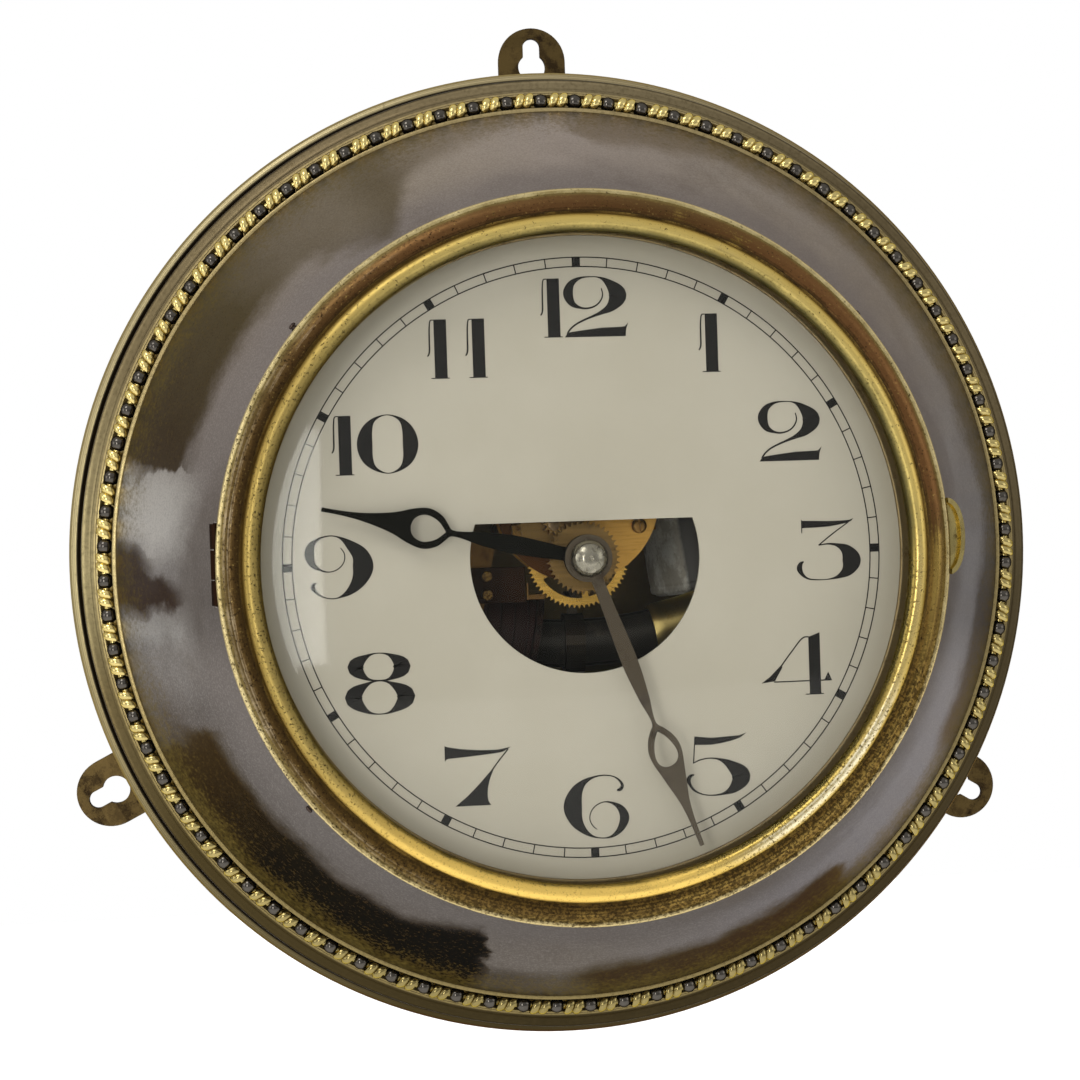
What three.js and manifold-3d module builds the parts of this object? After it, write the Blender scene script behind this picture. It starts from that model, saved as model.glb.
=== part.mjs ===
// A round brass wall clock with an electric pendulum movement.
// Frame: the wall is the plane y = 0, the dial faces -Y, +X is to the right and +Z is up,
// and the origin is where the dial's axis meets the wall. Angles are clock angles:
// degrees clockwise from twelve, as seen from the front. All sizes are millimetres.
import * as THREE from "three";
import { mergeVertices } from "three/addons/utils/BufferGeometryUtils.js";
import Module from "manifold-3d";

const wasm = await Module();
wasm.setup();

// Driving dimensions: case
const CLEAR = 0.3; // air kept between pieces that rest on each other
const RUNNING = 0.08; // radial play of a pivot in its hole
const SEGMENTS = 40; // facets round the large turned parts
const SHEET = 0.9; // brass sheet of the case
const DIAL_DEPTH = 95; // wall to the face of the dial
const VIEW_RADIUS = 73.1; // clear opening of the bezel
const BEZEL_WIDTH = 10.1;
const BEZEL_STAND = 6.9; // dial face to the back of the bezel
const RABBET = 2.4; // recess behind the bezel's roll, for the glass
const GLASS_THICKNESS = 1.2;
const GLASS_RISE = 6.5;
const LIP_WIDTH = 5.5; // inward lip of the shell, behind the bezel
const RIM_RADIUS = 123.1; // front edge of the shell
const RIM_DEPTH = 48.6; // dial face to that edge
const BAND_SLOPE = 40; // degrees between the bead band and the dial
const BAND_WIDTH = 7.7;
const OUTER_BAND = 3.9; // plain band outside the beads
const BEAD_RADIUS = 1.7;
const FLANGE_SAG = 1.2; // hollow of the sloping flange
const SKIRT_DEPTH = 68; // dial face to the rear edge of the shell
const PAN_ROLL = 2.3; // radius of the pan's rolled rim
const PAN_ROLL_DEPTH = 62.7;
const PAN_TAPER = 17; // how far the pan narrows towards the wall

// Driving dimensions: hanging lugs
const LUG_ANGLES = { top: 0, lower_right: 121.3, lower_left: 243.2 };
const LUG_THICKNESS = 1.5;
const LUG_WIDTH = 19.2;
const LUG_PROJECTION = 27.1; // outside the shell's front edge
const LUG_TAIL = 8; // behind the rivet
const RIVET_INSET = 8.3; // inside the edge of the pan's flat back
const KEY_NARROW = 4.8;
const KEY_WIDE = 7.7;
const KEY_END = 2.9; // metal outside the narrow end
const KEY_LENGTH = 5.8; // between the two centres
const RIVET_RADIUS = 1.5;

// Driving dimensions: dial, hands and hinge
const SURROUND_MARGIN = 0.9; // bezel's opening to the inner edge of the ring that frames the dial
const DIAL_MARGIN = 4.9; // bezel's opening to the dial's edge
const DIAL_THICKNESS = 0.8;
const WINDOW_RADIUS = 26.6;
const WINDOW_TOP = 8.5; // axis up to the window's straight edge
const MINUTE_ANGLE = 160.2;
const HOUR_ANGLE = 282.3;
const HAND_THICKNESS = 0.6;
const HOUR_STAND = 3; // dial face to the back of the hour hand
const MINUTE_STAND = 6;
const BOSS_RADIUS = 5.4;
const NUT_RADIUS = 4.3;
const NUT_HEIGHT = 3.6;
const HINGE_HEIGHT = 1.4; // middle of the hinge above the axis
const HINGE_LENGTH = 19.5;
const KNUCKLE_RADIUS = 1.35;
const PIN_RADIUS = 0.55;
const CATCH_HEIGHT = 2.2;
const CATCH_LENGTH = 18;
const CATCH_REACH = 3.4;
const SPRING_WIDTH = 1.4;
const SPRING_LENGTH = 7;
const SCREW_ANGLE = 40; // surround screws, either side of the hinge and of the catch

// Driving dimensions: movement, with depths measured back from the dial face
const PLATE_RADIUS = 19.5;
const PLATE_HEIGHT = 13.5; // centre of the plates above the axis
const PLATE_THICKNESS = 1.5;
const FRONT_PLATE = 12.5;
const BACK_PLATE = 26;
const PILLARS = { left: [-14.5, 6.9], right: [14.5, 6.9], top: [-10.5, 27.5] };
const PILLAR_RADIUS = 1.9;
const WHEEL_THICKNESS = 0.8;
const HUB = 0.8; // how far a hub or pinion stands out on each side of its wheel's level
const ARBOR_RADIUS = 0.9;
const PIVOT_RADIUS = 0.7;
const CENTRE_MODULE = 0.3788;
const CENTRE_TEETH = 64;
const PINION_LEAVES = 8;
const INTERMEDIATE_TEETH = 75;
const INTERMEDIATE_MODULE = 0.28;
const COUNT_TEETH = 72;
const COUNT_RADIUS = 10.5;
const RATCHET_DEPTH = 0.6;
const TIP_GAP = 0.6; // click and pawl tips to the ratchet's tooth tips, at rest
const FINGER_THICKNESS = 0.7;
const CLICK_ANGLE = 317.1; // where the click meets the ratchet
const PAWL_PIVOT = [14.6, 34.2];
const PAWL_PIN = 0.6;
const COUNT_ANGLE = 52.5; // direction of the count arbor from the intermediate arbor
const CANNON_LEAVES = 12;
const MINUTE_WHEEL_TEETH = 36;
const MINUTE_MODULE = 0.4315;
const HOUR_LEAVES = 10;
const HOUR_TEETH = 40;
const MINUTE_WHEEL_ANGLE = 319; // direction of the minute wheel from the axis
const SUSPENSION_HEIGHT = 88.5;
const PENDULUM_DEPTH = 33.5;
const PENDULUM_LENGTH = 110.5; // suspension to the middle of the magnet
const MAGNET_RADIUS = 6;
const MAGNET_LEFT = 25; // degrees of arc either side of the rod
const MAGNET_RIGHT = 22.4; // shorter than the left, to balance the sleeve
const SLEEVE_START = 10.5;
const SLEEVE_END = 20;
const CONTACT_FINGER = [-1.5, -9.5];
const COIL_ANGLE = 12;
const COIL_LENGTH = 27;
const COIL_RADIUS = 12.8;
const COIL_WALL = 0.8;
const COIL_CHEEK = 1.5;
const MAGNET_PLAY = 1.3; // air between the magnet and the bobbin
const CONTACT_ARM_TOP = 1.3; // the contact bracket's top, above the dial's axis when it is upright
const BATTERY_RADIUS = 13;
const BATTERY_LENGTH = 50;
const BATTERY_PLACE = [34, 60, 14]; // x, depth and z of its middle
const BATTERY_TILT = 8;
const LEAD_RADIUS = 0.6;

const DIAL_Y = -DIAL_DEPTH;
const behind = (depth) => DIAL_Y + depth;
const radians = THREE.MathUtils.degToRad;
const polar = (radius, angle) => [radius * Math.sin(radians(angle)), radius * Math.cos(radians(angle))];

// A closed geometry as a solid for joining and cutting, turned right side out.
function solid(geometry) {
  const loose = geometry.index ? geometry.toNonIndexed() : geometry;
  const bare = new THREE.BufferGeometry().setAttribute("position", loose.getAttribute("position"));
  const merged = mergeVertices(bare, 1e-4);
  const corners = merged.index.array;
  const faces = [];
  for (let i = 0; i < corners.length; i += 3) {
    const [a, b, c] = corners.slice(i, i + 3);
    if (a !== b && b !== c && c !== a) faces.push([a, b, c]);
  }
  const vertProperties = merged.getAttribute("position").array;
  const close = (list) => {
    const triVerts = new Uint32Array(list.flat());
    return new wasm.Manifold(new wasm.Mesh({ numProp: 3, vertProperties, triVerts }));
  };
  const made = close(faces);
  return made.volume() > 0 ? made : close(faces.map(([a, b, c]) => [a, c, b]));
}

const asSolid = (shape) => (shape.isBufferGeometry ? solid(shape) : shape);
const join = (...shapes) => shapes.map(asSolid).reduce((whole, next) => whole.add(next));
const cut = (whole, ...tools) =>
  tools.map(asSolid).reduce((rest, tool) => rest.subtract(tool), asSolid(whole));

function geometryOf(shape) {
  const mesh = asSolid(shape).getMesh();
  const geometry = new THREE.BufferGeometry();
  geometry.setAttribute("position", new THREE.BufferAttribute(new Float32Array(mesh.vertProperties), 3));
  geometry.setIndex(new THREE.BufferAttribute(new Uint32Array(mesh.triVerts), 1));
  geometry.computeVertexNormals();
  return geometry;
}

// Basic forms. A turned part has its axis along Y, through the point (x, z).
function turned(profile, segments = SEGMENTS, [x, z] = [0, 0]) {
  const onAxis = profile[0][0] === 0 && profile.at(-1)[0] === 0;
  const closed = onAxis ? profile : [...profile, profile[0]];
  const points = closed.map(([radius, y]) => new THREE.Vector2(radius, y));
  return new THREE.LatheGeometry(points, segments).translate(x, 0, z);
}

const pin = ([x, z], radius, y0, y1, segments = 16) =>
  new THREE.CylinderGeometry(radius, radius, Math.abs(y1 - y0), segments).translate(x, (y0 + y1) / 2, z);

const sleeve = (place, inner, outer, y0, y1, segments = 20) =>
  turned([[inner, y0], [outer, y0], [outer, y1], [inner, y1]], segments, place);

const block = (x0, x1, y0, y1, z0, z1) =>
  new THREE.BoxGeometry(x1 - x0, y1 - y0, z1 - z0).translate((x0 + x1) / 2, (y0 + y1) / 2, (z0 + z1) / 2);

// A cylinder from one point to another.
function bar(start, end, radius, segments = 10) {
  const from = new THREE.Vector3(...start);
  const along = new THREE.Vector3(...end).sub(from);
  const upright = new THREE.Vector3(0, 1, 0);
  const turn = new THREE.Quaternion().setFromUnitVectors(upright, along.clone().normalize());
  return new THREE.CylinderGeometry(radius, radius, along.length(), segments)
    .applyQuaternion(turn)
    .translate(...from.addScaledVector(along, 0.5).toArray());
}

// A flat piece cut to an outline in the plane of the dial, from front to front + thickness.
function flat(shape, front, thickness, curveSegments = 12) {
  const options = { depth: thickness, bevelEnabled: false, curveSegments };
  return new THREE.ExtrudeGeometry(shape, options).rotateX(Math.PI / 2).translate(0, front + thickness, 0);
}

const onPlane = (points) => points.map(([x, z]) => new THREE.Vector2(x, z));
const outline = (points) => new THREE.Shape(onPlane(points));
const disc = (x, z, radius) => new THREE.Shape().absarc(x, z, radius, 0, 2 * Math.PI, false);

const circlePath = (x, z, radius) => new THREE.Path().absarc(x, z, radius, 0, 2 * Math.PI, true);

// A toothed outline with pointed teeth; the first tooth's middle is at the clock angle phase.
function toothed(teeth, module, phase) {
  const pitchRadius = (teeth * module) / 2;
  const tip = pitchRadius + 0.8 * module;
  const root = pitchRadius - 1.1 * module;
  const rootHalf = 0.3;
  const points = [];
  for (let i = 0; i < teeth; i++) {
    points.push(polar(root, phase + ((i - rootHalf) * 360) / teeth));
    points.push(polar(tip, phase + (i * 360) / teeth));
    points.push(polar(root, phase + ((i + rootHalf) * 360) / teeth));
  }
  return outline(points);
}

// A ratchet outline: each tooth has one steep and one sloping flank.
function ratchetOutline(teeth, radius, depth) {
  const points = [];
  for (let i = 0; i < teeth; i++) {
    points.push(polar(radius, (i * 360) / teeth));
    points.push(polar(radius - depth, ((i + 0.15) * 360) / teeth));
  }
  return outline(points);
}

// Openings between the spokes of a wheel.
function cutSpokes(shape, spokes, inner, outer, width, phase) {
  const step = 360 / spokes;
  const rims = [
    [inner, [0, 2, 4]],
    [outer, [4, 3, 2, 1, 0]],
  ];
  for (let i = 0; i < spokes; i++) {
    const points = [];
    for (const [radius, order] of rims) {
      const gap = THREE.MathUtils.radToDeg(Math.asin(width / 2 / radius));
      const start = phase + i * step + gap;
      for (const k of order) points.push(polar(radius, start + ((step - 2 * gap) * k) / 4));
    }
    shape.holes.push(new THREE.Path(onPlane(points)));
  }
  return shape;
}

// The phase that puts a gap of wheel B opposite a tooth of wheel A, which lies towards it at direction.
function meshPhase(teethA, phaseA, direction, teethB) {
  const share = ((direction - phaseA) * teethA) / 360;
  return direction + 180 - ((0.5 - share) * 360) / teethB;
}

// Finishes
const metal = (color, roughness) => new THREE.MeshStandardMaterial({ color, roughness, metalness: 1 });
const dull = (color, roughness) => new THREE.MeshStandardMaterial({ color, roughness, metalness: 0 });
const brass = metal(0xb8923f, 0.35);
const polishedBrass = metal(0xd0aa4c, 0.2);
const darkBrass = metal(0x5b4a24, 0.5);
const greyNickel = metal(0x847b75, 0.42);
const steel = metal(0x9a9890, 0.35);
const blackSteel = dull(0x1a1816, 0.45);
const cream = dull(0xc9c4b0, 0.6);
const clear = dull(0xeef2ee, 0.05);
clear.transparent = true;
clear.opacity = 0.2;
const fibre = dull(0x4a2a1c, 0.6);
const redTape = dull(0x4a1512, 0.6);
const zinc = metal(0x8d8b84, 0.55);
const insulation = dull(0x3a2d20, 0.7);

const clock = new THREE.Group();

function piece(parent, name, shape, material) {
  const mesh = new THREE.Mesh(geometryOf(shape), material);
  mesh.name = name;
  parent.add(mesh);
}

// Rear pan: a dish of brass sheet with a rolled rim, open towards the front.
const SKIRT_RADIUS = RIM_RADIUS - 0.3;
const PAN_INNER = SKIRT_RADIUS + CLEAR + 0.2;
const PAN_OUTER = PAN_INNER + SHEET;
const PAN_BACK_Y = -(LUG_THICKNESS + CLEAR);
const PAN_FLOOR_Y = PAN_BACK_Y - SHEET;
const PAN_FLAT = PAN_INNER - PAN_TAPER;
const skirtEnd = behind(SKIRT_DEPTH);
const rollY = behind(PAN_ROLL_DEPTH);
const rollRadius = PAN_OUTER + PAN_ROLL - 0.1;
const roll = [-80, -30, 20, 70, 120, 170].map((angle) => [
  rollRadius + PAN_ROLL * Math.cos(radians(angle)),
  rollY - PAN_ROLL * Math.sin(radians(angle)),
]);
const panProfile = [
  [0, PAN_BACK_Y],
  [PAN_FLAT, PAN_BACK_Y],
  [PAN_FLAT + 5.5, PAN_BACK_Y - 2.4],
  [PAN_FLAT + 8.3, PAN_BACK_Y - 7.2],
  [PAN_OUTER, skirtEnd + 2 * CLEAR],
  ...roll,
  [PAN_INNER, rollY - 0.6],
  [PAN_INNER, skirtEnd + 2 * CLEAR],
  [PAN_FLAT + 7.3, PAN_FLOOR_Y - 7.2],
  [PAN_FLAT + 4.9, PAN_FLOOR_Y - 2.4],
  [PAN_FLAT - 0.4, PAN_FLOOR_Y],
  [0, PAN_FLOOR_Y],
];
const RIVET_PLACE = PAN_FLAT - RIVET_INSET;
const lugs = Object.entries(LUG_ANGLES);
const rivetHoles = lugs.map(([, angle]) =>
  pin(polar(RIVET_PLACE, angle), RIVET_RADIUS + CLEAR, PAN_FLOOR_Y - 1, PAN_BACK_Y + 1, 12),
);
piece(clock, "rear_pan", cut(turned(panProfile), ...rivetHoles), darkBrass);

// Front shell: lip behind the bezel, sloping flange, channel for the beads, plain band and skirt.
const BEZEL_RADIUS = VIEW_RADIUS + BEZEL_WIDTH;
const BEZEL_BACK_Y = behind(-BEZEL_STAND);
const LIP_Y = BEZEL_BACK_Y + CLEAR + 0.2;
const LIP_BACK_Y = LIP_Y + SHEET;
const FLANGE_TOP = BEZEL_RADIUS - 1.2;
const LIP_RADIUS = FLANGE_TOP - LIP_WIDTH;
const bandRun = new THREE.Vector2(Math.cos(radians(BAND_SLOPE)), Math.sin(radians(BAND_SLOPE)));
const bandOut = new THREE.Vector2(bandRun.y, -bandRun.x);
const bandEnd = new THREE.Vector2(RIM_RADIUS - OUTER_BAND, behind(RIM_DEPTH - 1.6));
const bandStart = bandEnd.clone().addScaledVector(bandRun, -BAND_WIDTH);
const onBand = (along, out) =>
  bandStart.clone().addScaledVector(bandRun, along).addScaledVector(bandOut, out).toArray();
const CHANNEL_DEPTH = BEAD_RADIUS + 0.2;
const flangeRun = bandStart.clone().sub(new THREE.Vector2(FLANGE_TOP, LIP_Y));
const flangeOut = new THREE.Vector2(flangeRun.y, -flangeRun.x).normalize();
const onFlange = (share, out) =>
  new THREE.Vector2(FLANGE_TOP, LIP_Y)
    .addScaledVector(flangeRun, share)
    .addScaledVector(flangeOut, out - 4 * FLANGE_SAG * share * (1 - share))
    .toArray();
const shellProfile = [
  [LIP_RADIUS, LIP_Y],
  onFlange(0, 0),
  onFlange(0.33, 0),
  onFlange(0.67, 0),
  onBand(0, 0),
  onBand(0.9, 0.5),
  onBand(1.4, -CHANNEL_DEPTH),
  onBand(BAND_WIDTH - 1.4, -CHANNEL_DEPTH),
  onBand(BAND_WIDTH - 0.9, 0.5),
  onBand(BAND_WIDTH, 0),
  [RIM_RADIUS - 0.7, behind(RIM_DEPTH - 0.4)],
  [RIM_RADIUS, behind(RIM_DEPTH)],
  [SKIRT_RADIUS, behind(RIM_DEPTH + 1.2)],
  [SKIRT_RADIUS, skirtEnd],
  [SKIRT_RADIUS - SHEET, skirtEnd],
  [SKIRT_RADIUS - SHEET, behind(RIM_DEPTH + 1)],
  [bandEnd.x - 0.6, bandEnd.y + 1.6],
  onBand(BAND_WIDTH - 1.1, -CHANNEL_DEPTH - SHEET),
  onBand(1.1, -CHANNEL_DEPTH - SHEET),
  onFlange(0.985, -SHEET),
  onFlange(0.67, -SHEET),
  onFlange(0.33, -SHEET),
  [FLANGE_TOP - 0.5, LIP_BACK_Y],
  [LIP_RADIUS, LIP_BACK_Y],
];
const HINGE_X = -(FLANGE_TOP + 1.4);
const HINGE_Y = LIP_Y + 3;
const FOOT_REACH = 4.1; // how far the moving leaf reaches in behind the bezel
const slotHalf = HINGE_LENGTH / 2;
const hingeSlot = block(
  HINGE_X - KNUCKLE_RADIUS - 0.4,
  HINGE_X + FOOT_REACH + CLEAR,
  LIP_Y - 2,
  HINGE_Y + KNUCKLE_RADIUS + CLEAR,
  HINGE_HEIGHT - slotHalf,
  HINGE_HEIGHT + slotHalf,
);
const SCREW_Y = LIP_Y + 3.7;
const screwRadius = 0.5;
const screwAngles = [270 - SCREW_ANGLE, 270 + SCREW_ANGLE, 90 - SCREW_ANGLE, 90 + SCREW_ANGLE];
const flangeAtScrew = FLANGE_TOP + ((SCREW_Y - LIP_Y) * flangeRun.x) / flangeRun.y;
const radial = (angle, from, to, radius) => {
  const [x0, z0] = polar(from, angle);
  const [x1, z1] = polar(to, angle);
  return bar([x0, SCREW_Y, z0], [x1, SCREW_Y, z1], radius, 8);
};
const screwHole = screwRadius + CLEAR + 0.06;
const screwHoles = screwAngles.map((angle) => radial(angle, flangeAtScrew - 4, flangeAtScrew + 3, screwHole));
piece(clock, "front_shell", cut(turned(shellProfile), hingeSlot, ...screwHoles), greyNickel);

// Bead band: the moulded wire that lies in the shell's channel.
const beadPlace = onBand(BAND_WIDTH / 2, 0.1);
const beadSection = [0, 60, 120, 180, 240, 300].map((angle) => [
  beadPlace[0] + BEAD_RADIUS * Math.cos(radians(angle - BAND_SLOPE)),
  beadPlace[1] + BEAD_RADIUS * Math.sin(radians(angle - BAND_SLOPE)),
]);
piece(clock, "bead_band", turned(beadSection), polishedBrass);

// Hanging lugs, each with a keyhole whose narrow end is outermost, and the rivets that hold them.
const lugTip = RIM_RADIUS + LUG_PROJECTION;
const lugInner = RIVET_PLACE - LUG_TAIL;
for (const [side, angle] of lugs) {
  const half = LUG_WIDTH / 2;
  const roundCentre = lugTip - half;
  const shape = new THREE.Shape();
  shape.moveTo(-half, lugInner);
  shape.lineTo(half, lugInner);
  shape.lineTo(half, roundCentre);
  shape.absarc(0, roundCentre, half, 0, Math.PI, false);
  shape.closePath();
  const narrowEnd = lugTip - KEY_END - KEY_NARROW / 2;
  const wideCentre = narrowEnd - KEY_LENGTH;
  const narrow = KEY_NARROW / 2;
  const through = [-2 * LUG_THICKNESS, LUG_THICKNESS];
  const keyhole = join(
    flat(disc(0, wideCentre, KEY_WIDE / 2), through[0], 3 * LUG_THICKNESS, 8),
    flat(disc(0, narrowEnd, narrow), through[0], 3 * LUG_THICKNESS, 8),
    block(-narrow, narrow, ...through, wideCentre, narrowEnd),
  );
  const hole = pin([0, RIVET_PLACE], RIVET_RADIUS + CLEAR, ...through, 12);
  const turn = new THREE.Group();
  turn.rotation.y = radians(angle);
  clock.add(turn);
  const lug = cut(flat(shape, -LUG_THICKNESS, LUG_THICKNESS, 10), keyhole, hole);
  piece(turn, `hanging_lug_${side}`, lug, darkBrass);
  const rivet = join(
    pin([0, RIVET_PLACE], RIVET_RADIUS, PAN_FLOOR_Y - CLEAR - 0.6, -0.2, 12),
    pin([0, RIVET_PLACE], RIVET_RADIUS + 1, PAN_FLOOR_Y - CLEAR - 1.2, PAN_FLOOR_Y - CLEAR, 12),
  );
  piece(turn, `lug_rivet_${side}`, rivet, brass);
}

// Dial surround: a ring under the shell's lip. Its three bent tabs hold the dial from behind.
const dialRadius = VIEW_RADIUS + DIAL_MARGIN;
const surroundInner = VIEW_RADIUS + SURROUND_MARGIN;
const SURROUND_WALL = dialRadius + CLEAR;
const dialBack = behind(DIAL_THICKNESS);
const surroundFront = LIP_BACK_Y + CLEAR;
const tabBack = dialBack + CLEAR + 0.6;
const surroundProfile = [
  [surroundInner, behind(-CLEAR - 0.8)],
  [SURROUND_WALL, behind(-CLEAR - 0.8)],
  [SURROUND_WALL, surroundFront],
  [SURROUND_WALL + SHEET, surroundFront],
  [SURROUND_WALL + SHEET, tabBack],
  [SURROUND_WALL, tabBack],
  [SURROUND_WALL, behind(-CLEAR)],
  [surroundInner, behind(-CLEAR)],
];
const tabReach = [SURROUND_WALL - 3, SURROUND_WALL + SHEET / 2];
const tabs = [60, 180, 300].map((angle) =>
  block(-3, 3, dialBack + CLEAR, tabBack, ...tabReach).rotateY(radians(angle)),
);
piece(clock, "dial_surround", join(turned(surroundProfile), ...tabs), darkBrass);
screwAngles.forEach((angle, i) => {
  const screw = join(
    radial(angle, SURROUND_WALL + SHEET + CLEAR, flangeAtScrew + CLEAR + 0.1, screwRadius),
    radial(angle, flangeAtScrew + CLEAR, flangeAtScrew + CLEAR + 0.7, 0.9),
  );
  piece(clock, `surround_screw_${i + 1}`, screw, blackSteel);
});

// Dial: a painted disc with a half-moon window cut below a straight top edge.
const face = disc(0, 0, dialRadius);
const windowStart = Math.asin(WINDOW_TOP / WINDOW_RADIUS);
const windowHole = new THREE.Path().absarc(0, 0, WINDOW_RADIUS, windowStart, Math.PI - windowStart, true);
windowHole.closePath();
face.holes.push(windowHole);
piece(clock, "dial", flat(face, DIAL_Y, DIAL_THICKNESS, SEGMENTS / 2), cream);

// Hinge: a fixed leaf inside the shell and a moving leaf on the bezel, on one pin.
const knuckle = (low, high) =>
  cut(
    bar([HINGE_X, HINGE_Y, low], [HINGE_X, HINGE_Y, high], KNUCKLE_RADIUS, 12),
    bar([HINGE_X, HINGE_Y, low - 1], [HINGE_X, HINGE_Y, high + 1], PIN_RADIUS + RUNNING, 12),
  );
const middleHalf = slotHalf / 3;
const outerHalf = slotHalf - 2 * CLEAR;
const insideFlange = (share, out) => {
  const [radius, y] = onFlange(share, -SHEET - CLEAR - out);
  return new THREE.Vector2(-radius, y);
};
const slotShare = (HINGE_Y + KNUCKLE_RADIUS + CLEAR - LIP_Y) / flangeRun.y; // where the slot ends
const leafEdge = insideFlange(slotShare, 0.8);
const leafShape = new THREE.Shape([
  new THREE.Vector2(HINGE_X + 0.9, HINGE_Y),
  leafEdge,
  insideFlange(0.24, 0.6),
  insideFlange(0.24, 1.5),
  new THREE.Vector2(leafEdge.x + 1, leafEdge.y - 0.6),
  new THREE.Vector2(HINGE_X + 1.35, HINGE_Y),
]);
const fixedLeaf = new THREE.ExtrudeGeometry(leafShape, { depth: 2 * outerHalf, bevelEnabled: false });
fixedLeaf.translate(0, 0, HINGE_HEIGHT - outerHalf);
const leafNotch = block(
  HINGE_X - 4,
  HINGE_X + 4,
  HINGE_Y - 4,
  HINGE_Y + KNUCKLE_RADIUS + CLEAR,
  HINGE_HEIGHT - middleHalf - CLEAR,
  HINGE_HEIGHT + middleHalf + CLEAR,
);
const caseLeaf = cut(
  join(
    fixedLeaf,
    knuckle(HINGE_HEIGHT + middleHalf + CLEAR, HINGE_HEIGHT + outerHalf),
    knuckle(HINGE_HEIGHT - outerHalf, HINGE_HEIGHT - middleHalf - CLEAR),
  ),
  leafNotch,
  bar([HINGE_X, HINGE_Y, -30], [HINGE_X, HINGE_Y, 30], PIN_RADIUS + RUNNING, 12),
);
piece(clock, "case_hinge_leaf", caseLeaf, darkBrass);
const hingePin = bar(
  [HINGE_X, HINGE_Y, HINGE_HEIGHT - outerHalf - 0.2],
  [HINGE_X, HINGE_Y, HINGE_HEIGHT + outerHalf + 0.2],
  PIN_RADIUS,
  12,
);
piece(clock, "hinge_pin", hingePin, steel);

// Catch spring: a strip behind the lip, which the bezel snaps over.
const springX = SURROUND_WALL + SHEET + CLEAR + SPRING_WIDTH / 2;
const springY = LIP_BACK_Y + CLEAR;
const springEnds = [CATCH_HEIGHT - SPRING_LENGTH / 2, CATCH_HEIGHT + SPRING_LENGTH / 2];
const catchSpring = join(
  block(springX - SPRING_WIDTH / 2, springX + SPRING_WIDTH / 2, springY, springY + 0.5, ...springEnds),
  bar([springX, springY + 0.5, CATCH_HEIGHT - 2], [springX, springY + 0.5, CATCH_HEIGHT + 2], 0.4, 8),
);
piece(clock, "catch_spring", catchSpring, brass);

// Bezel, with the glass, its retaining ring, the moving leaf and the thumb catch, which open together.
const bezel = new THREE.Group();
clock.add(bezel);
const rollMiddle = VIEW_RADIUS + 2.1;
const rollCentreY = BEZEL_BACK_Y - RABBET - 0.9;
const rabbetRadius = VIEW_RADIUS + 4.3;
const bezelRoll = [180, 135, 100, 65, 20].map((angle) => [
  rollMiddle + 2.1 * Math.cos(radians(angle)),
  rollCentreY - 2.1 * Math.sin(radians(angle)),
]);
const bezelProfile = [
  [VIEW_RADIUS + 0.1, BEZEL_BACK_Y - RABBET],
  ...bezelRoll,
  [VIEW_RADIUS + 4.6, rollCentreY],
  [VIEW_RADIUS + 6.4, rollCentreY - 0.3],
  [BEZEL_RADIUS - 1.3, rollCentreY + 1.2],
  [BEZEL_RADIUS - 0.6, BEZEL_BACK_Y - 2.2],
  [BEZEL_RADIUS, BEZEL_BACK_Y - 1.6],
  [BEZEL_RADIUS - 0.2, BEZEL_BACK_Y],
  [rabbetRadius, BEZEL_BACK_Y],
  [rabbetRadius, BEZEL_BACK_Y - RABBET],
];
piece(bezel, "bezel_ring", turned(bezelProfile), polishedBrass);
const glassRadius = rabbetRadius - CLEAR;
const glassFront = BEZEL_BACK_Y - RABBET + CLEAR;
const domeShare = [1, 0.67, 0.33];
const domeStart = VIEW_RADIUS - 0.9;
const dome = (share, back) => [
  domeStart * share,
  glassFront + back - GLASS_RISE * (1 - share * share),
];
const glassProfile = [
  [0, glassFront - GLASS_RISE + GLASS_THICKNESS],
  ...domeShare.toReversed().map((share) => dome(share, GLASS_THICKNESS)),
  [glassRadius, glassFront + GLASS_THICKNESS],
  [glassRadius, glassFront],
  ...domeShare.map((share) => dome(share, 0)),
  [0, glassFront - GLASS_RISE],
];
piece(bezel, "glass", turned(glassProfile), clear);
const retainerFront = glassFront + GLASS_THICKNESS + CLEAR;
const retainerBack = LIP_Y - CLEAR;
const retainerInner = VIEW_RADIUS + 2.3;
const retainer = sleeve([0, 0], retainerInner, glassRadius, retainerFront, retainerBack, SEGMENTS);
piece(bezel, "glass_retainer", retainer, brass);
const footFront = BEZEL_BACK_Y + CLEAR;
const footBack = footFront + 0.8;
const middle = [HINGE_HEIGHT - middleHalf, HINGE_HEIGHT + middleHalf];
const movingLeaf = cut(
  join(
    block(HINGE_X - 0.9, HINGE_X + FOOT_REACH, footFront, footBack, ...middle),
    block(HINGE_X - 0.9, HINGE_X + 0.9, footFront, HINGE_Y, ...middle),
    bar([HINGE_X, HINGE_Y, middle[0]], [HINGE_X, HINGE_Y, middle[1]], KNUCKLE_RADIUS, 12),
  ),
  bar([HINGE_X, HINGE_Y, -30], [HINGE_X, HINGE_Y, 30], PIN_RADIUS + RUNNING, 12),
);
piece(bezel, "bezel_hinge_leaf", movingLeaf, brass);
const catchBow = (inset) => {
  const points = [];
  for (let i = 0; i <= 12; i++) {
    const angle = (Math.PI * i) / 12;
    const reach = (CATCH_REACH + 2.5 - inset) * Math.sin(angle) ** 0.6;
    points.push([BEZEL_RADIUS - 2.5 + reach, CATCH_HEIGHT - (CATCH_LENGTH / 2 - inset) * Math.cos(angle)]);
  }
  return outline(points);
};
const catchFront = BEZEL_BACK_Y - 2.4;
const catchLip = cut(
  flat(catchBow(0), catchFront, 2.2),
  flat(catchBow(0.9), catchFront - 1, 2.4),
  pin([0, 0], BEZEL_RADIUS + CLEAR, -200, 0, 96),
);
piece(bezel, "catch_lip", catchLip, polishedBrass);

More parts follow.
